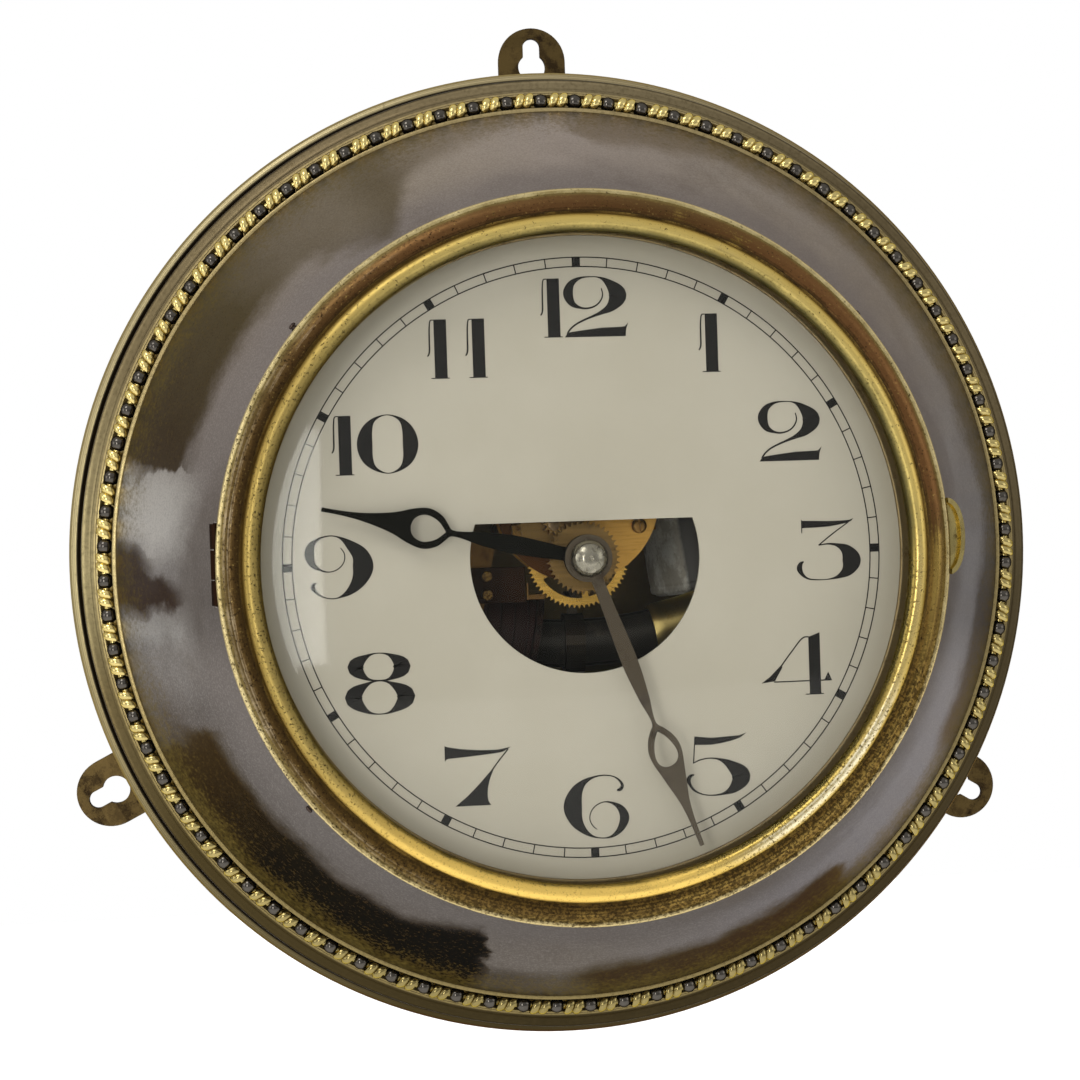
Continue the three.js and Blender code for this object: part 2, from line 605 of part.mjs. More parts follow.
// Movement plates. The back plate has an arm that carries the pendulum.
const frontPlate = behind(FRONT_PLATE);
const frontPlateBack = frontPlate + PLATE_THICKNESS;
const backPlate = behind(BACK_PLATE);
const backPlateBack = backPlate + PLATE_THICKNESS;
const centre = [0, 0];
const centrePitch = ((CENTRE_TEETH + PINION_LEAVES) * CENTRE_MODULE) / 2;
const intermediate = [0, centrePitch];
const countPitch = ((INTERMEDIATE_TEETH + PINION_LEAVES) * INTERMEDIATE_MODULE) / 2;
const countOffset = polar(countPitch, COUNT_ANGLE);
const count = [intermediate[0] + countOffset[0], intermediate[1] + countOffset[1]];
const minutePitch = ((CANNON_LEAVES + MINUTE_WHEEL_TEETH) * MINUTE_MODULE) / 2;
const minutePost = polar(minutePitch, MINUTE_WHEEL_ANGLE);
const hourModule = (2 * minutePitch) / (HOUR_LEAVES + HOUR_TEETH);
const clickPost = [-5.5, 25.5];
const holes = [
  [centre, ARBOR_RADIUS],
  [intermediate, PIVOT_RADIUS],
  [count, PIVOT_RADIUS],
];
const pillarShank = PILLAR_RADIUS - 0.8;
function plateShape() {
  const shape = disc(0, PLATE_HEIGHT, PLATE_RADIUS);
  for (const [[x, z], radius] of holes) shape.holes.push(circlePath(x, z, radius + RUNNING));
  for (const [x, z] of Object.values(PILLARS)) shape.holes.push(circlePath(x, z, pillarShank + CLEAR));
  return shape;
}
piece(clock, "front_plate", flat(plateShape(), frontPlate, PLATE_THICKNESS, 6), brass);
const ARM_HALF = 4;
const armTop = SUSPENSION_HEIGHT + 7.5;
const arm = block(-ARM_HALF, ARM_HALF, backPlate, backPlateBack, PLATE_HEIGHT + PLATE_RADIUS - 1.5, armTop);
piece(clock, "back_plate", join(flat(plateShape(), backPlate, PLATE_THICKNESS, 6), arm), brass);

// Stepped pillars run from the front plate through the back plate to the pan; a screw holds each in front.
for (const [side, place] of Object.entries(PILLARS)) {
  const pillar = join(
    pin(place, PILLAR_RADIUS, frontPlateBack + CLEAR, backPlate - CLEAR, 12),
    pin(place, pillarShank, frontPlateBack - 0.6, backPlateBack + 1.2, 12),
    pin(place, PILLAR_RADIUS, backPlateBack + CLEAR, PAN_FLOOR_Y - CLEAR, 12),
  );
  piece(clock, `pillar_${side}`, pillar, brass);
  const screw = join(
    pin(place, PILLAR_RADIUS - 0.1, frontPlate - CLEAR - 0.9, frontPlate - CLEAR, 12),
    pin(place, pillarShank - 0.2, frontPlate - CLEAR - 0.4, frontPlateBack - 0.6 - CLEAR, 12),
  );
  piece(clock, `plate_screw_${side}`, screw, steel);
}

// The centre arbor turns once an hour, with its wheel, the cannon pinion, the minute hand and the nut.
const centreLevel = behind(FRONT_PLATE + PLATE_THICKNESS + 2);
const intermediateLevel = centreLevel + 3;
const countLevel = intermediateLevel + 3.6;
const hourLevel = behind(4);
const minuteLevel = behind(8.5);
const minuteBack = behind(-MINUTE_STAND);
const minuteFront = minuteBack - HAND_THICKNESS;
const hourBack = behind(-HOUR_STAND);
const hourFront = hourBack - HAND_THICKNESS;
const nutBack = minuteFront - CLEAR;
const CANNON_BORE = ARBOR_RADIUS + CLEAR;
const CANNON_OUTER = CANNON_BORE + 0.6;
const minutes = new THREE.Group();
clock.add(minutes);
const arborBack = backPlateBack - 0.2;
piece(minutes, "centre_arbor", pin(centre, ARBOR_RADIUS, nutBack - NUT_HEIGHT / 2, arborBack, 12), steel);
const centreShape = toothed(CENTRE_TEETH, CENTRE_MODULE, 0);
const centreRim = (CENTRE_TEETH * CENTRE_MODULE) / 2 - 2.1;
cutSpokes(centreShape, 5, 3.4, centreRim, 1.5, 27);
const centreWheel = cut(
  join(
    flat(centreShape, centreLevel, WHEEL_THICKNESS),
    pin(centre, 2.2, centreLevel - HUB, centreLevel + WHEEL_THICKNESS + HUB, 12),
  ),
  pin(centre, ARBOR_RADIUS + 0.1, centreLevel - 3, centreLevel + 4, 12),
);
piece(minutes, "centre_wheel", centreWheel, polishedBrass);
const cannonPhase = 0;
const cannonPinion = cut(
  join(
    flat(toothed(CANNON_LEAVES, MINUTE_MODULE, cannonPhase), minuteLevel - 0.9, WHEEL_THICKNESS + 1.8),
    pin(centre, CANNON_OUTER, minuteBack + CLEAR, frontPlate - CLEAR, 12),
  ),
  pin(centre, CANNON_BORE, minuteBack - 5, frontPlate + 5, 12),
);
piece(minutes, "cannon_pinion", cannonPinion, steel);

// A hand lies along +Z before it is turned to its hour. Its outline is given by half-widths along
// its length, and the eye is a hole with a point towards the axis.
function handBlade(widths, eye, front, bore) {
  const curve = (points, steps) => {
    const places = points.map(([along, half]) => new THREE.Vector2(half, along));
    return new THREE.SplineCurve(places).getPoints(steps);
  };
  const right = curve(widths, 26);
  const left = right.toReversed().map((point) => new THREE.Vector2(-point.x, point.y));
  const shape = new THREE.Shape([...right, ...left]);
  const half = curve(eye, 8);
  const otherHalf = half.slice(1, -1).toReversed().map((point) => new THREE.Vector2(-point.x, point.y));
  shape.holes.push(new THREE.Path([...half, ...otherHalf]));
  const boss = pin(centre, BOSS_RADIUS, front, front + HAND_THICKNESS, 24);
  return cut(join(flat(shape, front, HAND_THICKNESS), boss), pin(centre, bore, front - 1, front + 2, 16));
}

const minuteWidths = [
  [4, 1.3], [14, 1.55], [26, 1.85], [34, 1.25], [40.6, 0.5], [42, 1.6], [44, 2.9], [46.5, 3.7],
  [49, 3.6], [52, 2.9], [55, 2.2], [59.6, 1.15], [63.6, 0.7], [70.5, 0.5],
];
const minuteEye = [[42.4, 0], [44, 1.25], [46, 2.15], [48, 2.6], [49.5, 2.35], [50.6, 1.4], [51, 0]];
const minuteHand = new THREE.Group();
minuteHand.rotation.y = radians(MINUTE_ANGLE);
minutes.add(minuteHand);
piece(minuteHand, "minute_hand", handBlade(minuteWidths, minuteEye, minuteFront, CANNON_BORE), blackSteel);
const nutProfile = [
  [0, nutBack - NUT_HEIGHT],
  [NUT_RADIUS * 0.4, nutBack - NUT_HEIGHT * 0.94],
  [NUT_RADIUS * 0.75, nutBack - NUT_HEIGHT * 0.72],
  [NUT_RADIUS * 0.95, nutBack - NUT_HEIGHT * 0.38],
  [NUT_RADIUS, nutBack],
  [CANNON_BORE, nutBack],
  [CANNON_BORE, nutBack - NUT_HEIGHT / 2 - CLEAR],
  [0, nutBack - NUT_HEIGHT / 2 - CLEAR],
];
piece(minutes, "hand_nut", turned(nutProfile, 20), steel);

// Motion work: the minute wheel turns on a post, and its pinion drives the hour wheel on its pipe.
const PIPE_BORE = CANNON_OUTER + CLEAR;
const PIPE_OUTER = PIPE_BORE + 0.7;
const wheelPhase = meshPhase(CANNON_LEAVES, cannonPhase, MINUTE_WHEEL_ANGLE, MINUTE_WHEEL_TEETH);
const hourPhase = meshPhase(HOUR_LEAVES, wheelPhase, MINUTE_WHEEL_ANGLE + 180, HOUR_TEETH);
const at = (shape, place) => shape.translate(place[0], 0, place[1]);
const minuteShape = toothed(MINUTE_WHEEL_TEETH, MINUTE_MODULE, wheelPhase);
const hourPinion = toothed(HOUR_LEAVES, hourModule, wheelPhase);
const minuteWheel = cut(
  join(
    at(flat(minuteShape, minuteLevel, WHEEL_THICKNESS), minutePost),
    at(flat(hourPinion, hourLevel - 0.4, minuteLevel - hourLevel + 0.6), minutePost),
  ),
  pin(minutePost, PIVOT_RADIUS + RUNNING, hourLevel - 5, minuteLevel + 5, 12),
);
piece(clock, "minute_wheel", minuteWheel, darkBrass);
const post = join(
  pin(minutePost, PIVOT_RADIUS, hourLevel - 0.4 - CLEAR - 0.2, frontPlate - CLEAR, 12),
  pin(minutePost, PIVOT_RADIUS + 0.6, hourLevel - 0.4 - CLEAR - 0.7, hourLevel - 0.4 - CLEAR, 12),
  pin(minutePost, PIVOT_RADIUS + 0.6, minuteLevel + WHEEL_THICKNESS + CLEAR, frontPlate - CLEAR, 12),
);
piece(clock, "minute_wheel_post", post, steel);
const hours = new THREE.Group();
clock.add(hours);
const hourWheel = cut(
  join(
    flat(toothed(HOUR_TEETH, hourModule, hourPhase), hourLevel, WHEEL_THICKNESS),
    pin(centre, PIPE_OUTER, hourBack + CLEAR, hourLevel + WHEEL_THICKNESS + 0.6, 16),
  ),
  pin(centre, PIPE_BORE, hourBack - 5, hourLevel + 5, 16),
);
piece(hours, "hour_wheel", hourWheel, brass);
const hourWidths = [
  [4, 1.45], [10, 1.85], [17, 2.1], [24, 1.6], [31.4, 0.75], [32.4, 1.7], [34.1, 3.5], [37.2, 4.65],
  [40.9, 3.95], [44.1, 2.65], [47.9, 1.65], [53, 0.8], [58, 0.5], [61.2, 0.5],
];
const hourEye = [[32.7, 0], [34.5, 1.9], [36, 2.7], [37.6, 3.05], [39.3, 2.6], [40.4, 1.5], [40.8, 0]];
const hourHand = new THREE.Group();
hourHand.rotation.y = radians(HOUR_ANGLE);
hours.add(hourHand);
piece(hourHand, "hour_hand", handBlade(hourWidths, hourEye, hourFront, CANNON_OUTER + CLEAR), blackSteel);

// Going train: the centre wheel meshes with the intermediate pinion, and the intermediate wheel
// with the count pinion.
const arborWith = (place, pinionShape, pinionLevel, wheelShape, wheelLevel) =>
  join(
    at(flat(pinionShape, pinionLevel - HUB, WHEEL_THICKNESS + 2 * HUB), place),
    at(flat(wheelShape, wheelLevel, WHEEL_THICKNESS), place),
    pin(place, PIVOT_RADIUS, pivotFront, arborBack, 12),
  );
const pivotFront = frontPlate + 0.2;
const innerPhase = meshPhase(CENTRE_TEETH, 0, 0, PINION_LEAVES);
const innerPinion = toothed(PINION_LEAVES, CENTRE_MODULE, innerPhase);
const intermediateShape = toothed(INTERMEDIATE_TEETH, INTERMEDIATE_MODULE, 0);
const intermediateWheel = arborWith(
  intermediate,
  innerPinion,
  centreLevel,
  intermediateShape,
  intermediateLevel,
);
piece(clock, "intermediate_wheel", intermediateWheel, brass);
const countPhase = meshPhase(INTERMEDIATE_TEETH, 0, COUNT_ANGLE, PINION_LEAVES);
const countPinion = toothed(PINION_LEAVES, INTERMEDIATE_MODULE, countPhase);
const ratchet = ratchetOutline(COUNT_TEETH, COUNT_RADIUS, RATCHET_DEPTH);
const countWheel = arborWith(count, countPinion, intermediateLevel, ratchet, countLevel);
piece(clock, "count_wheel", countWheel, steel);

// Click: a pivoted finger that keeps the count wheel from turning back, just clear of the tooth tips.
const tipOffset = polar(COUNT_RADIUS + TIP_GAP, CLICK_ANGLE);
const clickTip = [count[0] + tipOffset[0], count[1] + tipOffset[1]];
function finger(from, to, radius, width, pivotRadius) {
  const run = new THREE.Vector2(to[0] - from[0], to[1] - from[1]);
  const side = new THREE.Vector2(-run.y, run.x).normalize().multiplyScalar(width / 2);
  const points = [
    [from[0] + side.x, from[1] + side.y],
    [from[0] - side.x, from[1] - side.y],
    to,
  ];
  const blade = flat(outline(points), countLevel, FINGER_THICKNESS);
  const boss = pin(from, radius, countLevel, countLevel + FINGER_THICKNESS, 12);
  return cut(join(blade, boss), pin(from, pivotRadius + RUNNING, countLevel - 2, countLevel + 3, 12));
}
piece(clock, "click", finger(clickPost, clickTip, 1.5, 2, PIVOT_RADIUS), steel);
const clickPin = join(
  pin(clickPost, PIVOT_RADIUS, countLevel - CLEAR - 0.2, backPlate - CLEAR, 12),
  pin(clickPost, 1.3, countLevel - CLEAR - 0.7, countLevel - CLEAR, 12),
  pin(clickPost, 1.3, countLevel + FINGER_THICKNESS + CLEAR, backPlate - CLEAR, 12),
);
piece(clock, "click_post", clickPin, steel);

// Pendulum, hung from a cock on the back plate's arm by a thin spring.
const swingY = behind(PENDULUM_DEPTH);
const magnetZ = SUSPENSION_HEIGHT - PENDULUM_LENGTH;
const springHalf = 2.5;
const springBottom = SUSPENSION_HEIGHT - 9.5;
const springTop = SUSPENSION_HEIGHT + 1.5;
const slotDepth = springHalf + 0.5;
const cock = cut(
  block(-5, 5, backPlateBack + CLEAR, swingY + springHalf + 2.5, SUSPENSION_HEIGHT - 1, armTop),
  block(-0.6, 0.6, swingY - slotDepth, swingY + slotDepth, SUSPENSION_HEIGHT - 3, springTop + 1.5),
);
piece(clock, "suspension_cock", cock, brass);
const springBlade = block(-0.15, 0.15, swingY - springHalf, swingY + springHalf, springBottom, springTop);
piece(clock, "suspension_spring", springBlade, steel);
const clampInner = MAGNET_RADIUS + CLEAR;
const clampOuter = clampInner + 1.2;
const clampHalf = 2.5;
const magnetClamp = cut(
  bar([-clampHalf, swingY, magnetZ], [clampHalf, swingY, magnetZ], clampOuter, 20),
  bar([-clampHalf - 1, swingY, magnetZ], [clampHalf + 1, swingY, magnetZ], clampInner, 20),
);
const pendulumRod = join(
  block(-1.2, 1.2, swingY - 0.8, swingY + 0.8, magnetZ + clampInner + 0.5, springBottom - CLEAR),
  block(-2, 2, swingY - springHalf, swingY + springHalf, springBottom - CLEAR - 5, springBottom - CLEAR),
  magnetClamp,
  bar([0, swingY, magnetZ - clampInner - 0.5], [0, swingY, magnetZ - clampOuter - 8], 1, 10),
  block(0, PAWL_PIVOT[0] + PAWL_PIN, swingY - 0.7, swingY + 0.7, PAWL_PIVOT[1] - 0.9, PAWL_PIVOT[1] + 0.9),
  pin(PAWL_PIVOT, PAWL_PIN, countLevel - 0.5, swingY, 12),
  pin(CONTACT_FINGER, 0.5, centreLevel + WHEEL_THICKNESS + 1, swingY, 10),
);
piece(clock, "pendulum_rod", pendulumRod, brass);
class SwingArc extends THREE.Curve {
  constructor(from, to) {
    super();
    this.from = from;
    this.to = to;
  }
  getPoint(share, target = new THREE.Vector3()) {
    const angle = radians(this.from + (this.to - this.from) * share);
    return target.set(
      PENDULUM_LENGTH * Math.sin(angle),
      swingY,
      SUSPENSION_HEIGHT - PENDULUM_LENGTH * Math.cos(angle),
    );
  }
}
const arcBar = (from, to, radius, steps) => {
  const extrudePath = new SwingArc(from, to);
  const options = { steps, extrudePath, curveSegments: 6, bevelEnabled: false };
  return new THREE.ExtrudeGeometry(disc(0, 0, radius), options);
};
piece(clock, "bar_magnet", arcBar(-MAGNET_LEFT, MAGNET_RIGHT, MAGNET_RADIUS, 14), blackSteel);
const magnetSleeve = cut(
  arcBar(SLEEVE_START, SLEEVE_END, MAGNET_RADIUS + 1.2, 4),
  arcBar(SLEEVE_START - 1, SLEEVE_END + 1, MAGNET_RADIUS + CLEAR, 5),
);
piece(clock, "magnet_sleeve", magnetSleeve, brass);
const nutTop = magnetZ - clampOuter - 1.2;
const ratingNut = cut(
  bar([0, swingY, nutTop - 3], [0, swingY, nutTop], 4, 16),
  bar([0, swingY, nutTop - 5], [0, swingY, nutTop + 2], 1 + CLEAR + 0.05, 10),
);
piece(clock, "rating_nut", ratingNut, brass);
const pawlTip = [count[0] - 0.7, count[1] + COUNT_RADIUS + TIP_GAP - 0.1];
piece(clock, "gathering_pawl", finger(PAWL_PIVOT, pawlTip, 1.3, 1.6, PAWL_PIN), steel);

// Coil: its bobbin and winding lie along the magnet's arc, on a bracket from the pan's floor.
const coilFrame = new THREE.Group();
coilFrame.position.set(0, swingY, SUSPENSION_HEIGHT);
coilFrame.rotation.y = radians(COIL_ANGLE);
clock.add(coilFrame);
const coilHalf = COIL_LENGTH / 2;
const coilBore = MAGNET_RADIUS + MAGNET_PLAY;
const coilZ = -(PENDULUM_LENGTH - coilHalf ** 2 / (4 * PENDULUM_LENGTH));
const coilTube = (inner, outer, from, to) =>
  sleeve([0, 0], inner, outer, from, to, 20)
    .rotateZ(-Math.PI / 2)
    .translate(0, 0, coilZ);
const bobbin = join(
  coilTube(coilBore, coilBore + COIL_WALL, -coilHalf, coilHalf),
  coilTube(coilBore, COIL_RADIUS, -coilHalf, COIL_CHEEK - coilHalf),
  coilTube(coilBore, COIL_RADIUS, coilHalf - COIL_CHEEK, coilHalf),
);
piece(coilFrame, "coil_bobbin", bobbin, fibre);
const windingHalf = coilHalf - COIL_CHEEK - CLEAR;
const windingInner = coilBore + COIL_WALL + CLEAR;
const winding = coilTube(windingInner, COIL_RADIUS - 0.9, -windingHalf, windingHalf);
piece(coilFrame, "coil_winding", winding, redTape);
const bracketFront = -(COIL_RADIUS + CLEAR + 1.2);
const shelfZ = coilZ - COIL_RADIUS - CLEAR;
const floorLocal = PAN_FLOOR_Y - swingY;
const bracket = join(
  block(-9, 9, bracketFront, floorLocal - CLEAR, shelfZ - 1.2, shelfZ),
  block(-9, 9, floorLocal - CLEAR - 1.2, floorLocal - CLEAR, shelfZ - 9, shelfZ),
  block(-9, -1.5, bracketFront, bracketFront + 1.2, shelfZ - 0.6, CONTACT_ARM_TOP - SUSPENSION_HEIGHT),
);
piece(coilFrame, "coil_bracket", bracket, brass);

// Contact: a fibre block on the bracket, with a spring that reaches towards the pendulum's finger.
const contactBack = swingY + bracketFront - CLEAR;
const contactFront = contactBack - 2.5;
const contactBlock = join(
  block(-27, -12.8, contactFront, contactBack, -10.5, -2),
  pin([-22, -4], 1.3, contactFront - 1.2, contactFront + 0.5, 12),
  pin([-22, -8.5], 1.3, contactFront - 1.2, contactFront + 0.5, 12),
);
piece(clock, "contact_block", contactBlock, fibre);
const contactSpring = join(
  block(-12.5, -12.1, contactFront + 0.3, contactBack - 0.3, -10, -6),
  block(-12.5, -8, contactBack - 0.9, contactBack - 0.4, -10, -8.8),
);
piece(clock, "contact_spring", contactSpring, brass);

// Battery, its spring clip on the pan's floor, and the two leads.
const batteryFrame = new THREE.Group();
batteryFrame.position.set(BATTERY_PLACE[0], behind(BATTERY_PLACE[1]), BATTERY_PLACE[2]);
batteryFrame.rotation.y = -radians(BATTERY_TILT);
clock.add(batteryFrame);
const batteryHalf = BATTERY_LENGTH / 2;
const battery = join(
  bar([0, 0, -batteryHalf], [0, 0, batteryHalf], BATTERY_RADIUS, 24),
  bar([0, 0, batteryHalf - 1], [0, 0, batteryHalf + 1.6], 3.2, 12),
);
piece(batteryFrame, "battery", battery, zinc);
const clipInner = BATTERY_RADIUS + CLEAR;
const clipOuter = clipInner + 0.8;
const batteryFloor = PAN_FLOOR_Y - behind(BATTERY_PLACE[1]);
const clip = cut(
  join(
    cut(bar([0, 0, -7], [0, 0, 7], clipOuter, 24), bar([0, 0, -8], [0, 0, 8], clipInner, 24)),
    block(-4, 4, clipInner + 0.4, batteryFloor - CLEAR, -7, 7),
  ),
  block(-BATTERY_RADIUS * 0.8, BATTERY_RADIUS * 0.8, -2 * BATTERY_RADIUS, -BATTERY_RADIUS * 0.5, -9, 9),
);
piece(batteryFrame, "battery_clip", clip, brass);
function lead(points, steps) {
  const places = points.map(([x, depth, z]) => new THREE.Vector3(x, behind(depth), z));
  const extrudePath = new THREE.CatmullRomCurve3(places);
  const options = { steps, extrudePath, curveSegments: 4, bevelEnabled: false };
  return new THREE.ExtrudeGeometry(disc(0, 0, LEAD_RADIUS), options);
}
const LEAD_TO_COIL = [
  [37.6, 60, -11.4],
  [38, 60, -18],
  [33, 64, -34],
  [14, 68, -46],
  [-12, 66, -48],
  [-34, 56, -40],
  [-41, 44, -29],
  [-40, 36, -24.5],
];
piece(clock, "lead_to_coil", lead(LEAD_TO_COIL, 26), insulation);
const LEAD_TO_PLATE = [
  [30.2, 60, 41],
  [29.6, 59, 46],
  [22, 54, 48],
  [15.5, 44, 42],
  [13, 34, 31],
  [11, 28.4, 23],
];
piece(clock, "lead_to_plate", lead(LEAD_TO_PLATE, 20), insulation);

export default clock;
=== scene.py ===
# Electric wall clock: brass case, painted dial, hands and the pendulum movement behind the window.
# Sizes are millimetres in the clock's own frame: the wall is y = 0, the dial faces -Y and +Z is up.
# A clock angle is in degrees clockwise from twelve, as seen from the front.
import math

import bmesh
import bpy
from mathutils import Matrix, Vector
from mathutils.geometry import tessellate_polygon


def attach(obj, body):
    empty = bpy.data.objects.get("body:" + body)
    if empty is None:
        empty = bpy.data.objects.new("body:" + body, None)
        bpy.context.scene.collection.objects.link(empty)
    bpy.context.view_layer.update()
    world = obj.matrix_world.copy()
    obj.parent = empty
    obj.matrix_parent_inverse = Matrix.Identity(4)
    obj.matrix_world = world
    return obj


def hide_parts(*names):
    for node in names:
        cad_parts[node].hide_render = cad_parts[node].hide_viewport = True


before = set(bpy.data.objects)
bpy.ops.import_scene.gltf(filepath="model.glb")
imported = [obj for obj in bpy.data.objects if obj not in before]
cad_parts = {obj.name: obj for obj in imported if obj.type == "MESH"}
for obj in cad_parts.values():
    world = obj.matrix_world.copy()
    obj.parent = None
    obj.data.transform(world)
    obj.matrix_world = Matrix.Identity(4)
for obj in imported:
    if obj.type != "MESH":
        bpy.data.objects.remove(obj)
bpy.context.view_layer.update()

MM = 0.001
TAU = 2 * math.pi
STEPS = 240  # facets round the large turned pieces

# Case
BEZEL_RADIUS = 83.2
BEZEL_BACK = -101.9
LIP_INSIDE = 76.5
LIP_FRONT = -101.4
BEZEL_BAND = (73.0, 83.4)  # the radii its tones are laid between
SHEET = 0.9
FLANGE_TOP = 82.0
FLANGE_SAG = 1.2
FLANGE_BAND = (83.0, 113.3)  # the radii that the tones of the flange are laid between
OUTER_BAND = (113.0, 123.4)  # and those of the brass round it
BAND_START = (113.3, -52.95)  # where the flange meets the bead band
BAND_SLOPE = 40.0
BAND_WIDTH = 7.7
CHANNEL_DEPTH = 1.9
RIM_RADIUS = 123.1
RIM_Y = -46.4
SKIRT_RADIUS = 122.8
SKIRT_END = -27.0
BEAD_RING = (116.31, -50.55)
BEADS = 84
FIRST_PEARL = 3.0  # clock angle
PEARL_RADIUS = 2.0
PAN_FLAT = 106.3
PAN_INNER = 123.3
PAN_OUTER = 124.2
PAN_BACK = -1.8
ROLL_RING = (126.4, -32.3)
ROLL_RADIUS = 2.3
LUG_ANGLES = {"top": 0.0, "lower_right": 121.3, "lower_left": 243.2}
LUG_TIP = 140.6
LUG_HALF = 9.6
KEY_HEAD = 3.85
KEY_NECK = 2.4
RIVET_PLACE = 98.0
HINGE_Z = 1.4
HINGE_HALF = 9.75
FRAME_SCREW_ANGLES = (50, 130, 230, 310)
FRAME_SCREW_RADIUS = 84.42
FRAME_SCREW_Y = -97.7
GLASS_RADIUS = 72.2
GLASS_RIM = -104.0
GLASS_RISE = 6.5
GLASS_THICKNESS = 1.2

# Dial and hands
DIAL_Y = -95.0
DIAL_RADIUS = 78.0
WINDOW_RADIUS = 26.6
WINDOW_TOP = 8.5
INK_FRONT = DIAL_Y - 0.05
INK_DEPTH = 0.07  # a little more than the ink's height, so that it sits in the paint
TRACK = (66.95, 69.1)
MINUTE_ANGLE = 160.2
HOUR_ANGLE = 282.3
BOSS_RADIUS = 5.4

# Movement
FRONT_PLATE = -82.5
BACK_PLATE = -69.0
PLATE = 1.5
PLATE_CENTRE = (0.0, 13.5)
PLATE_RADIUS = 19.5
ARM_HALF = 4  # half the width of the arm up to the suspension
PILLARS = {"left": (-14.5, 6.9), "right": (14.5, 6.9), "top": (-10.5, 27.5)}
CENTRE = (0.0, 0.0)
INTERMEDIATE = (0.0, 13.637)
COUNT = (9.219, 20.711)
COUNT_ANGLE = 52.5
MINUTE_POST = (-6.794, 7.816)
POST_ANGLE = 319
CENTRE_TEETH = 64
CENTRE_MODULE = 0.3788
MIDDLE_TEETH = 75
MIDDLE_MODULE = 0.28
LEAVES = 8  # of the intermediate and the count wheel's pinions
CANNON_LEAVES = 12
MINUTE_TEETH = 36
MOTION_MODULE = 0.4315
MINUTE_LEAVES = 10
HOUR_TEETH = 40
HOUR_MODULE = 2 * 10.356 / 50
SUSPENSION = 88.5
SWING_Y = -61.5
SWING_LENGTH = 110.5
MAGNET_ANGLES = (-25, 22.4)
MAGNET_RADIUS = 6.0
SLEEVE_ANGLES = (10.5, 20.0)
SLEEVE_RADIUS = 7.2
SLEEVE_BORE = 6.3
RATING_NUT_TOP = -30.7
COIL_ANGLE = 12
COIL_DROP = 110.09  # below the suspension
CELL_CENTRE = (34, -35, 14)
CELL_TILT = -8
WIRE_RADIUS = 0.6
TERMINAL_X = -22.0
TERMINAL_HEIGHTS = (-4.0, -8.5)

# Studio
DAYLIGHT = 1.0  # the room's light on matt surfaces
ROOM = 0.85  # the room as it shows in metal and glass
FLOOR_HEIGHT = -800
FLOOR_HALF = 3000
LAMP_AIM = Vector((0, -0.08, 0))  # metres


# Numbers and curves
def polar(radius, angle):
    turn = math.radians(angle)
    return radius * math.sin(turn), radius * math.cos(turn)


def smooth_path(points, steps, closed=False):
    """Points on a smooth curve through the given ones, whatever their number of coordinates."""
    given = [Vector(point) for point in points]
    count = len(given)
    made = []
    for i in range(count if closed else count - 1):
        here, there = given[i], given[(i + 1) % count]
        before = given[i - 1] if closed or i else here * 2 - there
        after = given[(i + 2) % count] if closed or i + 2 < count else there * 2 - here
        first = max((here - before).length, 1e-6) ** 0.5
        middle = max((there - here).length, 1e-6) ** 0.5
        last = max((after - there).length, 1e-6) ** 0.5
        leaving = there - here + ((here - before) / first - (there - before) / (first + middle)) * middle
        arriving = there - here + ((after - there) / last - (after - here) / (middle + last)) * middle
        for k in range(steps):
            t = k / steps
            bend = (here - there) * 2 + leaving + arriving
            rise = (there - here) * 3 - leaving * 2 - arriving
            made.append(bend * t**3 + rise * t**2 + leaving * t + here)
    if not closed:
        made.append(given[-1])
    return made


def eased(points, size, steps=3, closed=True):
    """A profile with its corners rounded off."""
    made = []
    count = len(points)
    for i, point in enumerate(points):
        if not closed and i in (0, count - 1):
            made.append(tuple(point))
            continue
        corner = Vector(point)
        back = Vector(points[i - 1]) - corner
        ahead = Vector(points[(i + 1) % count]) - corner
        start = corner + back.normalized() * min(size, 0.45 * back.length)
        end = corner + ahead.normalized() * min(size, 0.45 * ahead.length)
        for k in range(steps + 1):
            t = k / steps
            made.append(tuple(start * (1 - t) ** 2 + corner * 2 * t * (1 - t) + end * t**2))
    return made


def arc(centre, radius, start, end, steps):
    """Points on an arc, with angles anticlockwise from the first axis."""
    angles = [math.radians(start + (end - start) * k / steps) for k in range(steps + 1)]
    return [(centre[0] + radius * math.cos(a), centre[1] + radius * math.sin(a)) for a in angles]


# Forms: corners in millimetres and the faces between them
class Form:
    def __init__(self, corners=(), faces=()):
        self.corners = [Vector(corner) for corner in corners]
        self.faces = [tuple(face) for face in faces]

    def __add__(self, other):
        shift = len(self.corners)
        faces = self.faces + [tuple(shift + i for i in face) for face in other.faces]
        return Form(self.corners + other.corners, faces)

    def moved(self, matrix):
        return Form([matrix @ corner for corner in self.corners], self.faces)


def turned(profile, steps=STEPS, place=CENTRE):
    """A form turned about the Y direction. Its (radius, y) profile is closed unless it starts on the axis."""
    corners = []
    rings = []
    for radius, y in profile:
        if radius < 1e-6:
            rings.append([len(corners)] * steps)
            corners.append((place[0], y, place[1]))
            continue
        rings.append(list(range(len(corners), len(corners) + steps)))
        for k in range(steps):
            x, z = polar(radius, 360 * k / steps)
            corners.append((place[0] + x, y, place[1] + z))
    followers = rings[1:] if profile[0][0] < 1e-6 else rings[1:] + rings[:1]
    faces = []
    for near, far in zip(rings, followers):
        for k in range(steps):
            n = (k + 1) % steps
            face = tuple(dict.fromkeys((near[k], near[n], far[n], far[k])))
            if len(face) > 2:
                faces.append(face)
    return Form(corners, faces)


